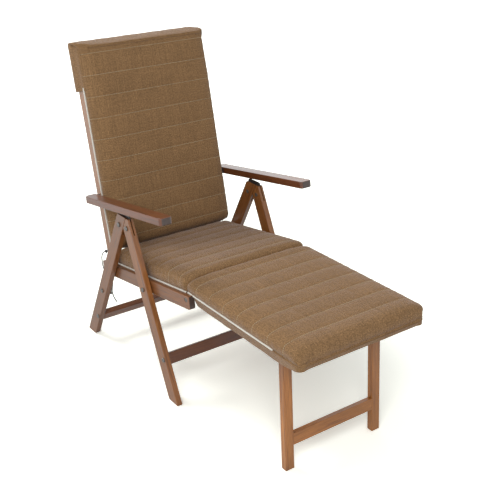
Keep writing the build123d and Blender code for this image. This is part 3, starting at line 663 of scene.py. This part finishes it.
def settle(made):
    """Applies every modifier on a piece."""
    graph = bpy.context.evaluated_depsgraph_get()
    final = bpy.data.meshes.new_from_object(made.evaluated_get(graph), depsgraph=graph)
    made.modifiers.clear()
    old = made.data
    made.data = final
    bpy.data.meshes.remove(old)
    final.polygons.foreach_set("use_smooth", [True] * len(final.polygons))


def subdivided(made):
    """Rounds a piece off with one level of subdivision."""
    modifier = made.modifiers.new("smooth", "SUBSURF")
    modifier.levels = 1
    modifier.render_levels = 1
    settle(made)


def thickened(made, wall):
    modifier = made.modifiers.new("wall", "SOLIDIFY")
    modifier.thickness = wall
    modifier.offset = -1.0
    subdivided(made)


def ring_points(place, normal, side, radius, sides):
    """Points round a place, in the plane of two directions."""
    angles = [2 * math.pi * step / sides for step in range(sides)]
    return [place + (normal * math.cos(angle) + side * math.sin(angle)) * radius for angle in angles]


def ring_faces(low, high, sides):
    """Faces between two rings, from the number of the first point of each."""
    pairs = [(step, (step + 1) % sides) for step in range(sides)]
    return [(low + step, low + beside, high + beside, high + step) for step, beside in pairs]


def tube(name, path, radius, material, sides=10, closed=False, weave=False):
    """A tube of even thickness along a list of points, with rounded ends."""
    count = len(path)
    points = []
    faces = []
    normal = None
    for index, place in enumerate(path):
        before = path[index - 1] if index or closed else path[0]
        after = path[(index + 1) % count] if index + 1 < count or closed else path[-1]
        ahead = (after - before).normalized()
        if normal is None:
            normal = ahead.orthogonal().normalized()
        normal = (normal - ahead * normal.dot(ahead)).normalized()
        points += ring_points(place, normal, ahead.cross(normal), radius, sides)
    for ring in range(count if closed else count - 1):
        faces += ring_faces(ring * sides, (ring + 1) % count * sides, sides)
    if not closed:
        for ring, place, inner in ((0, path[0], path[1]), (count - 1, path[-1], path[-2])):
            tip = len(points)
            points.append(place + (place - inner).normalized() * radius * CAP_SHARE)
            low = ring * sides
            faces += [(low + step, low + (step + 1) % sides, tip) for step in range(sides)]
    made = new_object(name, points, faces, material)
    if weave:
        weave_map(made, lambda polygon, index: (index % sides * radius, index // sides * radius))
    face_outwards(made)
    return made


def grid_object(name, columns, rows, place, wall, cell, cloth_start=0.0):
    """A sheet of the cover from a function of two counts. A cell is the cloth between its grid lines."""
    points = [place(a, b) for b in range(rows + 1) for a in range(columns + 1)]
    width = columns + 1
    faces = [
        (b * width + a, b * width + a + 1, (b + 1) * width + a + 1, (b + 1) * width + a)
        for b in range(rows)
        for a in range(columns)
    ]
    made = new_object(name, points, faces, COVER_MATERIAL)
    weave_map(
        made, lambda polygon, index: (index % width * cell[0], index // width * cell[1] + cloth_start)
    )
    thickened(made, wall)
    return made


def join_into(name, made):
    """Several meshes of one material made into one piece."""
    points = []
    faces = []
    for piece in made:
        start = len(points)
        points += [vertex.co.copy() for vertex in piece.data.vertices]
        faces += [[start + index for index in polygon.vertices] for polygon in piece.data.polygons]
    material = made[0].data.materials[0]
    for piece in made:
        bpy.data.objects.remove(piece)
    return new_object(name, points, faces, material)


def evenly(first, last, step):
    """Places from first up to but not at last."""
    count = max(1, round(abs(last - first) / step))
    return [first + (last - first) * index / count for index in range(count)]


def rows_between(first, last, marks, step):
    """Rows from first to last, with one on each mark."""
    stops = [first] + [mark for mark in sorted(marks) if first < mark < last] + [last]
    rows = []
    for low, high in zip(stops, stops[1:]):
        rows += evenly(low, high, step)
    return rows + [last]


def wander(size, place):
    """A smooth random step of up to about a size. Its place is counted in waves, not in metres."""
    return size * noise.noise(Vector(place))


# The tie

def make_tie():
    curve = bpy.data.curves.new("cushion_tie_cord", "CURVE")
    curve.dimensions = "3D"
    curve.bevel_depth = TIE_RADIUS
    curve.bevel_resolution = 3
    curve.resolution_u = 12
    curve.use_fill_caps = True
    spline = curve.splines.new("NURBS")
    spline.points.add(len(TIE_ROUTE) - 1)
    for point, (x, y, z) in zip(spline.points, TIE_ROUTE):
        point.co = (x, y + ROUTE_SHIFT_Y, z, 1.0)
    spline.order_u = 3
    spline.use_endpoint_u = True
    curve.materials.append(TIE_MATERIAL)
    return add_object("cushion_tie_cord", curve)


def make_knot():
    """An overhand knot with a small loop, where the tie goes round the stile."""
    centre = BACK.point(*KNOT_PLACE)
    path = []
    for step in range(KNOT_STEPS):
        angle = 2 * math.pi * step / KNOT_STEPS
        x = math.sin(angle) + 2 * math.sin(2 * angle)
        y = math.cos(angle) - 2 * math.cos(2 * angle)
        z = -math.sin(3 * angle)
        path.append(centre + Vector((z * KNOT_DEPTH, x * KNOT_SIZE, y * KNOT_SIZE)))
    return tube("cushion_tie_knot", path, TIE_RADIUS * KNOT_RADIUS_SHARE, TIE_MATERIAL, closed=True)


tie = make_tie()
knot = make_knot()


# Cushion sections

class Pad:
    """A closed pad on a lattice: columns across, rows along and levels up its sides."""

    def __init__(
        self,
        name,
        section,
        spans,
        sizes,
        stitches,
        leans=(0.0, 0.0),
        base_half=BASE_HALF,
        spread=0.0,
        shift=0.0,
        round_last=True,
    ):
        self.name = name
        self.section = section
        self.first, self.last = spans
        self.base, self.height, self.crown, self.seam_half = sizes
        self.first_lean, self.last_lean = leans
        self.base_half = base_half
        self.spread = spread
        self.shift = shift
        self.round_last = round_last
        self.stitches = [mark for mark in stitches if self.first + GRID_STEP < mark < self.last - GRID_STEP]
        self.rows = rows_between(self.first, self.last, self.stitches, GRID_STEP)
        self.columns = 2 * round(BASE_HALF / GRID_STEP)
        self.levels = max(4, round(self.height * SEAM_SHARE / GRID_STEP))
        self.keys = {}
        self.build()

    def groove_at(self, s):
        """How far the thread draws the top down at s, and how far it swells between two rows."""
        near = min(abs(s - mark) for mark in self.stitches)
        swell = min(1.0, near / (CHANNEL_PITCH / 2))
        return math.exp(-((near / GROOVE_WIDTH) ** 2)), math.sin(swell * math.pi / 2)

    def profile(self, share_x):
        """Height of the plain top surface above the base, without its sewing."""
        seam = self.height * SEAM_SHARE
        return seam + (self.height + self.crown - seam) * (1 - abs(share_x) ** CROWN_POWER)

    def edge_at(self, side, s, level):
        """Where one side of the plain pad stands, at a reach and a level up that side."""
        half = BASE_HALF + (self.seam_half - BASE_HALF) * level**SEAM_POWER
        half += SIDE_SWELL * math.sin(math.pi * level)
        half -= (BASE_HALF - self.base_half) * (1 - level) ** BASE_POWER
        half += level * self.spread * max(0.0, min(1.0, (self.last - s) / (self.last - BACK_SPREAD_END)))
        return min(side * half + self.shift * level, ARMREST_INNER - ARMREST_GAP)

    def place(self, i, j, k):
        share_x = 2 * i / self.columns - 1
        share_s = j / (len(self.rows) - 1)
        s = self.rows[j]
        level = k / self.levels
        inner = abs(share_x)
        groove, swell = self.groove_at(s)
        fade = min(1.0, (1 - inner) / EDGE_SHARE)
        sewn = GROOVE * groove * (GROOVE_EDGE_SHARE + (1 - GROOVE_EDGE_SHARE) * fade)
        top_v = self.profile(share_x) + PILLOW * swell * fade - sewn
        ends = [max(0.0, 1 - (s - self.first) / END_ROUND)]
        if self.round_last:
            ends.append(max(0.0, 1 - (self.last - s) / END_ROUND))
        end_round = max(ends)
        top_v -= END_DROP * end_round**END_DROP_POWER
        right, left = (self.edge_at(side, s, level) for side in (-1, 1))
        drawn_in = END_NARROWING * end_round**2 + GROOVE_SIDE_SHARE * GROOVE * groove * level
        x = (left + right) / 2 + share_x * ((left - right) / 2 - drawn_in)
        v = self.base + top_v * level
        bulge = END_BULGE * (1 - inner**END_BULGE_POWER) * math.sin(math.pi * level)
        if j == 0:
            s -= bulge
        if j == len(self.rows) - 1 and self.round_last:
            s += bulge
        if j == 0 and inner == 1.0 and DART_LOW_SHARE < level < DART_HIGH_SHARE:
            x -= math.copysign(DART_DEPTH, x)
            s += DART_DEPTH
        lean = self.first_lean * (1 - share_s) ** LEAN_POWER + self.last_lean * share_s**LEAN_POWER
        return self.section.point(x, s + lean * (v - self.base), v)

    def build(self):
        last_column, last_row, last_level = self.columns, len(self.rows) - 1, self.levels
        points = []

        def vertex(key):
            if key not in self.keys:
                self.keys[key] = len(points)
                points.append(self.place(*key))
            return self.keys[key]

        faces = []
        kinds = []
        sides = (
            ("top", range(last_column), range(last_row), lambda a, b: (a, b, last_level)),
            ("base", range(last_column), range(last_row), lambda a, b: (a, b, 0)),
            ("right", range(last_row), range(last_level), lambda a, b: (0, a, b)),
            ("left", range(last_row), range(last_level), lambda a, b: (last_column, a, b)),
            ("first", range(last_column), range(last_level), lambda a, b: (a, 0, b)),
            ("last", range(last_column), range(last_level), lambda a, b: (a, last_row, b)),
        )
        for kind, firsts, seconds, key in sides:
            for a in firsts:
                for b in seconds:
                    ring = (key(a, b), key(a + 1, b), key(a + 1, b + 1), key(a, b + 1))
                    faces.append([vertex(corner) for corner in ring])
                    kinds.append(kind)
        self.object = new_object(self.name, points, faces, COVER_MATERIAL)
        self.map_cloth(kinds)
        self.hold_seams()
        face_outwards(self.object)
        self.rest = [vertex.co.copy() for vertex in self.object.data.vertices]

    def map_cloth(self, kinds):
        """Lays each panel of the cover flat, for its weave."""
        lattice = {index: key for key, index in self.keys.items()}

        def cloth_place(polygon, index):
            i, j, k = lattice[index]
            x = (2 * i / self.columns - 1) * BASE_HALF
            lift = self.height * k / self.levels
            if kinds[polygon.index] in ("top", "base"):
                return (x, self.rows[j])
            if kinds[polygon.index] in ("right", "left"):
                return (lift + SIDE_PANEL_START, self.rows[j])
            return (x, lift + END_PANEL_START)

        weave_map(self.object, cloth_place)

    def hold_seams(self):
        """Holds the base, the sewn rows and, less firmly, the upper seams during the cloth run."""
        hold = self.object.vertex_groups.new(name="hold")
        stitched = {self.rows.index(mark) for mark in self.stitches}
        edge = round(STITCH_EDGE / GRID_STEP)
        for (i, j, k), index in self.keys.items():
            at_side = i in (0, self.columns)
            at_top = k == self.levels
            sewn = j in stitched and (at_side or at_top and edge <= i <= self.columns - edge)
            if k == 0 or sewn:
                hold.add([index], 1.0, "REPLACE")
            elif at_top and at_side:
                hold.add([index], SEAM_HOLD_SHARE, "REPLACE")

    def swell(self, limit):
        """Takes the cloth's last shape and keeps each point within a limit of its sewn place."""
        graph = bpy.context.evaluated_depsgraph_get()
        final = self.object.evaluated_get(graph)
        moved = [vertex.co.copy() for vertex in final.to_mesh().vertices]
        final.to_mesh_clear()
        self.object.modifiers.clear()
        for vertex, start, end in zip(self.object.data.vertices, self.rest, moved):
            step = end - start
            if step.length > limit:
                step *= limit / step.length
            vertex.co = start + step

    def seam_path(self, mark):
        """Points along a sewn row: up one side, over the top and down the other side."""
        row = self.rows.index(mark)
        keys = [(0, row, k) for k in range(1, self.levels)]
        keys += [(i, row, self.levels) for i in range(self.columns + 1)]
        keys += [(self.columns, row, k) for k in range(self.levels - 1, 0, -1)]
        return [self.object.data.vertices[self.keys[key]].co.copy() for key in keys]


def run_cloth():
    """Inflates all the pads in one pass of the timeline."""
    for pad in pads:
        cloth = pad.object.modifiers.new("cloth", "CLOTH")
        settings = cloth.settings
        settings.quality = 5
        settings.mass = 0.25
        settings.tension_stiffness = 12.0
        settings.compression_stiffness = 12.0
        settings.shear_stiffness = 4.0
        settings.bending_stiffness = 0.35
        settings.use_pressure = True
        settings.uniform_pressure_force = 4.0
        settings.shrink_min = -0.015
        settings.vertex_group_mass = "hold"
        settings.effector_weights.gravity = 0.0
        cloth.collision_settings.use_self_collision = False
        cloth.collision_settings.use_collision = False
        cloth.point_cache.frame_start = 1
        cloth.point_cache.frame_end = CLOTH_FRAMES
    for number in range(1, CLOTH_FRAMES + 1):
        bpy.context.scene.frame_set(number)
    for pad in pads:
        pad.swell(SWELL_LIMIT)
    bpy.context.scene.frame_set(1)


back_pad = Pad(
    "back_cushion_cover",
    BACK,
    spans=(BACK_FIRST, BACK_LAST),
    sizes=(BACK_BASE, BACK_HEIGHT, BACK_CROWN, BACK_SEAM_HALF),
    stitches=BACK_STITCHES,
    leans=(BACK_LEAN, 0.0),
    base_half=BACK_BASE_HALF,
    spread=BACK_SPREAD,
    shift=BACK_SHIFT,
    round_last=False,
)
seat_pad = Pad(
    "seat_cushion_cover",
    SEAT,
    spans=(SEAT_FIRST, SEAT_LAST),
    sizes=(SEAT_BASE, SEAT_HEIGHT, SEAT_CROWN, SEAT_SEAM_HALF),
    stitches=SEAT_STITCHES,
    leans=(0.0, SEAT_LEAN),
)
foot_pad = Pad(
    "foot_cushion_cover",
    FOOT,
    spans=(FOOT_FIRST, FOOT_LAST),
    sizes=(FOOT_BASE, FOOT_HEIGHT, FOOT_CROWN, FOOT_SEAM_HALF),
    stitches=FOOT_STITCHES,
)
pads = [back_pad, seat_pad, foot_pad]
run_cloth()
seam_paths = {pad: [pad.seam_path(mark) for mark in pad.stitches] for pad in pads}
for pad in pads:
    subdivided(pad.object)


# Stitches: short thread bars laid on the finished cover

def measured(path):
    """Running length at each point of a path."""
    lengths = [0.0]
    for before, after in zip(path, path[1:]):
        lengths.append(lengths[-1] + (after - before).length)
    return lengths


def point_at(path, lengths, reach):
    """The point that lies at a running length along a path."""
    index = max(0, min(len(path) - 2, bisect.bisect_right(lengths, reach) - 1))
    span = lengths[index + 1] - lengths[index]
    return path[index].lerp(path[index + 1], (reach - lengths[index]) / span)


def stitch_line(tree, path, points, faces):
    """Thread bars along one sewn row, each lying on the cover with its ends sunk in."""
    lengths = measured(path)
    reach = STITCH_PITCH
    while reach < lengths[-1] - STITCH_PITCH:
        length = STITCH_LENGTH * random.uniform(*STITCH_LENGTH_SHARES)
        sunk = max(0.0, wander(STITCH_SINK_SHARE, point_at(path, lengths, reach) * 14.0))
        line = []
        for share in STITCH_BEND_SHARES:
            place, normal = tree.find_nearest(point_at(path, lengths, reach + length * share))[:2]
            lift = STITCH_RADIUS * (STITCH_LIFT_SHARE - sunk if 0.0 < share < 1.0 else STITCH_END_SHARE)
            line.append((place + normal * lift, normal))
        add_stitch(line, points, faces)
        reach += STITCH_PITCH * random.uniform(*STITCH_PITCH_SHARES)


def add_stitch(line, points, faces):
    start = len(points)
    ahead = (line[-1][0] - line[0][0]).normalized()
    for place, normal in line:
        side = ahead.cross(normal).normalized()
        points += ring_points(place, normal, side, STITCH_RADIUS, STITCH_SIDES)
    last = start + (len(line) - 1) * STITCH_SIDES
    for low in range(start, last, STITCH_SIDES):
        faces += ring_faces(low, low + STITCH_SIDES, STITCH_SIDES)
    faces.append(tuple(range(start + STITCH_SIDES - 1, start - 1, -1)))
    faces.append(tuple(range(last, last + STITCH_SIDES)))


def make_stitches(name, pad, shown=None):
    """Thread on a section's sewn rows, or on the first few of them where the rest have sunk in."""
    tree = BVHTree.FromObject(pad.object, bpy.context.evaluated_depsgraph_get())
    points = []
    faces = []
    for path in seam_paths[pad][:shown]:
        stitch_line(tree, path, points, faces)
    return new_object(name, points, faces, THREAD_MATERIAL)


back_stitches = make_stitches("back_stitching", back_pad)
seat_stitches = make_stitches("seat_stitching", seat_pad, shown=2)
foot_stitches = make_stitches("foot_stitching", foot_pad)


# Piping along the base edges

def piping_path(pad, side, run, lift):
    """A line along one lower edge of a pad, with the small sway of sewn piping."""
    level = lift / (pad.height * SEAM_SHARE)
    path = []
    for s in evenly(*run, step=0.012) + [run[1]]:
        sway = wander(PIPING_SWAY, (side * 3.0, s * 18.0, 2.0))
        x = pad.edge_at(side, s, level) + side * (PIPING_OUT + sway)
        path.append(pad.section.point(x, s, pad.base + lift + sway))
    return path


def make_piping(name, pad, run, lift=PIPING_LIFT):
    """Piping along both lower edges of a section."""
    sides = []
    for side in (-1, 1):
        path = piping_path(pad, side, run, lift)
        sides.append(tube(f"{name}_{side}", path, PIPING_RADIUS, PIPING_MATERIAL))
    return join_into(name, sides)


back_piping = make_piping("back_piping", back_pad, BACK_PIPING, BACK_PIPING_LIFT)
seat_piping = make_piping("seat_piping", seat_pad, SEAT_PIPING)
foot_piping = make_piping("foot_piping", foot_pad, FOOT_PIPING)


# Hood

def hood_top(v):
    """How far along the back the hood's top lies: it falls a little towards the sitter."""
    return HOOD_TOP - HOOD_FALL * max(0.0, v - HOOD_REAR) / (BACK_BASE + BACK_HEIGHT - HOOD_REAR)


def cushion_level(v):
    """How far up the back section's side v lies: 0 at its base and 1 at its seam."""
    return min(1.0, max(0.0, (v - BACK_BASE) / (BACK_HEIGHT * SEAM_SHARE)))


def hood_side(share_x, v):
    """Where a share of the hood's width lies: plain over the stiles, then with the cushion's lean."""
    level = cushion_level(v)
    follow = min(1.0, HOOD_FOLLOW_RATE * level)
    plain = HOOD_HALF + HOOD_FLARE * min(1.0, (v - HOOD_REAR) / (BACK_BASE - HOOD_REAR))
    right, left = (back_pad.edge_at(side, BACK_LAST, level) + side * HOOD_WALL for side in (-1, 1))
    half = plain + ((left - right) / 2 - plain) * follow
    return share_x * half + (left + right) / 2 * follow


def hood_front(share_x):
    """How far out the cushion's front holds the hood."""
    return BACK_BASE + back_pad.profile(share_x) + HOOD_WALL


def make_hood():
    """A sewn cap in one skin: up the rear, over the stile tops and a lip over the cushion's front."""
    rear_rows = evenly(HOOD_HEM, HOOD_TOP - HOOD_CORNER, step=0.010)
    on_rear_rows = len(rear_rows) + HOOD_TURN_ROWS

    def strip(b, share_x):
        """The (s, v) of row b at a share of the width."""
        front = hood_front(share_x)
        if b < len(rear_rows):
            return rear_rows[b], HOOD_REAR
        b -= len(rear_rows)
        if b < HOOD_TURN_ROWS:
            angle = math.pi / 2 * b / HOOD_TURN_ROWS
            v = HOOD_REAR + HOOD_CORNER * (1 - math.cos(angle))
            return hood_top(v) - HOOD_CORNER * (1 - math.sin(angle)), v
        b -= HOOD_TURN_ROWS
        start = HOOD_REAR + HOOD_CORNER
        small = HOOD_CORNER / 2
        if b < HOOD_TOP_ROWS:
            v = start + (front - small - start) * b / HOOD_TOP_ROWS
            return hood_top(v) + HOOD_CROWN * math.sin(math.pi * b / HOOD_TOP_ROWS), v
        b -= HOOD_TOP_ROWS
        last = HOOD_LIP_ROWS - 1
        angle = math.pi / 2 * b / last
        v = front - small + small * math.sin(angle) - (HOOD_LIP if b == last else 0.0)
        return hood_top(front) - small * (1 - math.cos(angle)) * HOOD_LIP_FALL_SHARE, v

    def place(a, b):
        flat = min(max(a - HOOD_SIDES, 0), HOOD_COLUMNS)
        share_x = 2 * flat / HOOD_COLUMNS - 1
        s, v = strip(b, share_x)
        on_rear = b < on_rear_rows
        x = hood_side(share_x, v)
        ripple = wander(HOOD_RIPPLE, (x * 24.0, s * 26.0, v * 26.0 + 4.0))
        drop = max(HOOD_SIDES - a, a - HOOD_SIDES - HOOD_COLUMNS, 0) / HOOD_SIDES
        if drop and on_rear:
            v += drop * (BACK_BASE + HOOD_TUCK - v)
            if s > HOOD_TOP - HOOD_CORNER:
                s = min(s + HOOD_CORNER_LIFT, hood_top(v) - HOOD_SEAM_GAP)
            tucked = back_pad.edge_at(share_x, s, cushion_level(v)) - HOOD_REAR_TUCK * share_x
            x += (tucked - x) * drop**HOOD_TUCK_POWER + HOOD_SIDE_RIPPLE * ripple
        elif drop:
            edge = HOOD_EDGE * min(1.0, max(0.0, (v - BACK_BASE) / HOOD_TUCK))
            s -= (HOOD_EDGE_START + edge) * drop
            tucked = back_pad.edge_at(share_x, s, cushion_level(v)) - HOOD_EDGE_TUCK * share_x
            x += (tucked - x) * drop**HOOD_EDGE_POWER
        elif on_rear:
            v -= HOOD_HOLLOW * (1 - share_x**2) + ripple
        else:
            gather = math.exp(-(((1 - abs(share_x)) / GATHER_WIDTH_SHARE) ** 2))
            pleat = wander(1.0, (v * 120.0, x * 3.0, 9.0))
            s += ripple + GATHER_HEIGHT * gather * (GATHER_LEVEL + pleat)
        return BACK.point(x, s, v)

    columns = HOOD_COLUMNS + 2 * HOOD_SIDES
    rows = on_rear_rows + HOOD_TOP_ROWS + HOOD_LIP_ROWS - 1
    return grid_object("back_hood_cover", columns, rows, place, HOOD_WALL, cell=(0.0079, 0.009))


def make_welt():
    """The seam that joins the hood's top to the front of the cushion."""
    path = []
    for step in range(HOOD_COLUMNS + 1):
        share_x = 2 * step / HOOD_COLUMNS - 1
        front = hood_front(share_x)
        x = hood_side(share_x, front)
        wave = wander(HOOD_WELT_SWAY, (x * 30.0, 3.0, 1.0))
        path.append(BACK.point(x, hood_top(front) - HOOD_WELT_SUNK + wave, front - HOOD_WELT_SUNK))
    return tube("back_hood_welt", path, WELT_RADIUS, COVER_MATERIAL, weave=True)


hood = make_hood()
welt = make_welt()


# Pocket

def pocket_low(rise):
    """Height of the pocket's lower edge, which rises towards the end of the footrest."""
    return POCKET_LOW + (POCKET_END_LOW - POCKET_LOW) * rise**POCKET_RISE_POWER


def corner_turn(end, steps):
    """Places (s, inset) round the pocket's corner, from its side to its end."""
    places = []
    for step in range(steps + 1):
        angle = math.pi / 2 * step / steps
        places.append((end + POCKET_CORNER * (1 - math.sin(angle)), POCKET_CORNER * (1 - math.cos(angle))))
    return places


def make_pocket():
    """The skirt under the foot section, with the closed pocket at its end."""
    end = FOOT_FIRST - POCKET_OUT
    half = POCKET_TOP_HALF
    side_plan = [(s, 0.0) for s in evenly(POCKET_REAR, end + POCKET_CORNER, step=0.014)]
    side_plan += corner_turn(end, steps=5)
    straight = half - POCKET_CORNER - POCKET_CORNER_MARGIN
    plan = [(-1.0, s, inset) for s, inset in side_plan]
    plan += [(x / half, end, None) for x in evenly(-straight, straight, step=0.016) + [straight]]
    plan += [(1.0, s, inset) for s, inset in reversed(side_plan)]

    def place(a, b):
        side, s, inset = plan[a]
        share = max(0.0, (b - 2) / (POCKET_ROWS - 2))
        tucked = POCKET_TUCKS[min(b, 2)]
        rise = min(1.0, max(0.0, (POCKET_START - s) / (POCKET_START - end)))
        v = FOOT_BASE + tucked * rise + (pocket_low(rise) - FOOT_BASE) * share
        inwards = tucked * POCKET_TUCK_SHARE
        if inset is None:
            x = side * half
            s += inwards + POCKET_END_LEAN * share
        else:
            lean = (POCKET_TOP_HALF - POCKET_LOW_HALF) * (1 - rise)
            x = side * (half - inset - lean * share - inwards)
        ripple = wander(POCKET_RIPPLE, (x * 16.0, s * 22.0, share * 2.0)) * share
        if inset is None:
            s += ripple
        else:
            x += side * ripple
        return FOOT.point(x, s, v)

    size = (len(plan) - 1, POCKET_ROWS)
    return grid_object("foot_pocket_cover", *size, place, POCKET_WALL, cell=(0.014, 0.006), cloth_start=0.6)


def make_pocket_welt():
    """The seam between the end of the cushion and the pocket that hangs from it."""
    end = FOOT_FIRST - POCKET_WELT_OUT
    half = POCKET_TOP_HALF
    path = []
    for side in (-1, 1):
        start = POCKET_START - POCKET_WELT_OVERLAP
        run = [(s, 0.0) for s in evenly(start, end + POCKET_CORNER, step=0.010)]
        run += corner_turn(end, steps=6)
        points = [FOOT.point(side * (half - inset), s, FOOT_BASE - POCKET_WELT_DROP) for s, inset in run]
        path += points if side < 0 else points[::-1]
    return tube("foot_pocket_welt", path, WELT_RADIUS, COVER_MATERIAL, weave=True)


def make_pocket_floor():
    """The panel under the end of the footrest frame that closes the pocket."""
    end = FOOT_FIRST - PANEL_IN

    def place(a, b):
        share = b / PANEL_ROWS
        rise = 1 - share
        half = POCKET_LOW_HALF + (POCKET_TOP_HALF - POCKET_LOW_HALF) * rise - PANEL_IN
        x = (2 * a / PANEL_COLUMNS - 1) * half
        sag = PANEL_SAG * (1 - (x / half) ** 2) * math.sin(math.pi * share)
        return FOOT.point(x, end + (POCKET_START - end) * share, pocket_low(rise) + PANEL_LIFT - sag)

    size = (PANEL_COLUMNS, PANEL_ROWS)
    return grid_object("foot_pocket_floor", *size, place, POCKET_WALL, cell=(0.011, 0.0125), cloth_start=0.9)


pocket = make_pocket()
pocket_welt = make_pocket_welt()
pocket_floor = make_pocket_floor()


# Bodies and replaced nodes

def dress(made, body, *nodes, slot="cushion_fabric"):
    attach(made, body)
    if nodes:
        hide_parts(*nodes)


dress(back_pad.object, "back_frame", "back_cushion")
dress(seat_pad.object, "seat_frame", "seat_cushion")
dress(foot_pad.object, "footrest_frame", "foot_cushion")
dress(hood, "back_frame", "back_cushion_hood")
dress(welt, "back_frame")
dress(pocket, "footrest_frame", "foot_cushion_skirt")
dress(pocket_floor, "footrest_frame")
dress(pocket_welt, "footrest_frame")
dress(back_piping, "back_frame")
dress(seat_piping, "seat_frame")
dress(foot_piping, "footrest_frame")
dress(back_stitches, "back_frame")
dress(seat_stitches, "seat_frame")
dress(foot_stitches, "footrest_frame")
dress(tie, "back_frame", "cushion_tie", slot="tie_cord")
dress(knot, "back_frame", slot="tie_cord")

# For the back folding down on the seat, each piece of both sections and of the hood gets a mesh of its own, and
# the share of thickness each would keep is worked out, the hood's so that it would sink by as much as the back;
# nothing here flattens them.
back_thickness = BACK_HEIGHT + BACK_CROWN
hood_thickness = BACK_BASE + back_thickness + HOOD_WALL - HOOD_REAR
hood_share = 1 - (1 - FOLDED_SHARE) * back_thickness / hood_thickness
flattened = (
    (BACK, BACK_BASE, FOLDED_SHARE, (back_pad.object, back_stitches, back_piping)),
    (SEAT, SEAT_BASE, FOLDED_SHARE, (seat_pad.object, seat_stitches, seat_piping)),
    (BACK, HOOD_REAR, hood_share, (hood, welt)),
)
for section, base, share, pieces in flattened:
    for piece in pieces:
        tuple(section.out)
        section.point(0, 0, base)
        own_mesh(piece)


# Floor, light and world

def floor_material():
    """Pale studio floor that keeps the chair's shadow and stays white where nothing shades it."""
    shader = Shader("studio_floor")
    matt = shader.node("ShaderNodeBsdfDiffuse")
    seen = shader.rays("Is Camera Ray", "Is Transmission Ray")
    shader.write(matt, color=shader.mix(seen, FLOOR_PLAIN, FLOOR_SEEN))
    reach = shader.node("ShaderNodeVectorMath", operation="LENGTH")
    shader.write(reach, vector=shader.node("ShaderNodeNewGeometry").outputs["Position"])
    lift = shader.spread(reach.outputs["Value"], *FLOOR_FAR, FLOOR_LIFT, FLOOR_FAR_LIFT)
    shown = shader.rays("Is Camera Ray", "Is Transmission Ray", "Is Glossy Ray")
    glow = shader.node("ShaderNodeEmission")
    shader.write(glow, strength=shader.math("MULTIPLY", shown, lift))
    both = shader.node("ShaderNodeAddShader")
    shader.feed(matt.outputs[0], both.inputs[0])
    shader.feed(glow.outputs[0], both.inputs[1])
    shader.write(shader.tree.nodes["Material Output"], surface=both.outputs[0])
    return shader.material


def make_floor():
    corners = [(x * FLOOR_REACH, y * FLOOR_REACH, 0) for x, y in ((-1, -1), (1, -1), (1, 1), (-1, 1))]
    made = new_object("floor", corners, [(0, 1, 2, 3)], floor_material(), smooth=False)


def make_world():
    """White for what sees it straight or in a mirror, and plain light for all else."""
    world = bpy.data.worlds.new("studio")
    bpy.context.scene.world = world
    world.use_nodes = True
    nodes = Nodes(world.node_tree)
    seen = nodes.rays("Is Camera Ray", "Is Glossy Ray", "Is Transmission Ray")
    level = nodes.spread(seen, 0.0, 1.0, WORLD_LEVEL, WORLD_SEEN)
    nodes.write(nodes.tree.nodes["Background"], color=WHITE, strength=level)


def area_light(name, place, target, size, power, mirrored_only=False):
    light = bpy.data.lights.new(name, "AREA")
    light.shape = "DISK"
    light.size = size
    light.energy = power
    holder = add_object(name, light)
    aim(holder, place, target)
    if mirrored_only:
        holder.visible_diffuse = False
        holder.visible_camera = False


make_floor()
make_world()
area_light("key", place=(-1.9, 4.4, 5.2), target=(0.0, -0.1, 0.4), size=2.8, power=215.0)
area_light("fill", place=(-2.9, -2.9, 3.4), target=(0.0, 0.0, 0.5), size=2.8, power=118.0)
area_light(
    "far_panel",
    place=(2.0, 2.6, 0.8),
    target=(0.3, 0.2, 0.65),
    size=1.3,
    power=3.0,
    mirrored_only=True,
)
bpy.context.scene.view_settings.view_transform = "Standard"
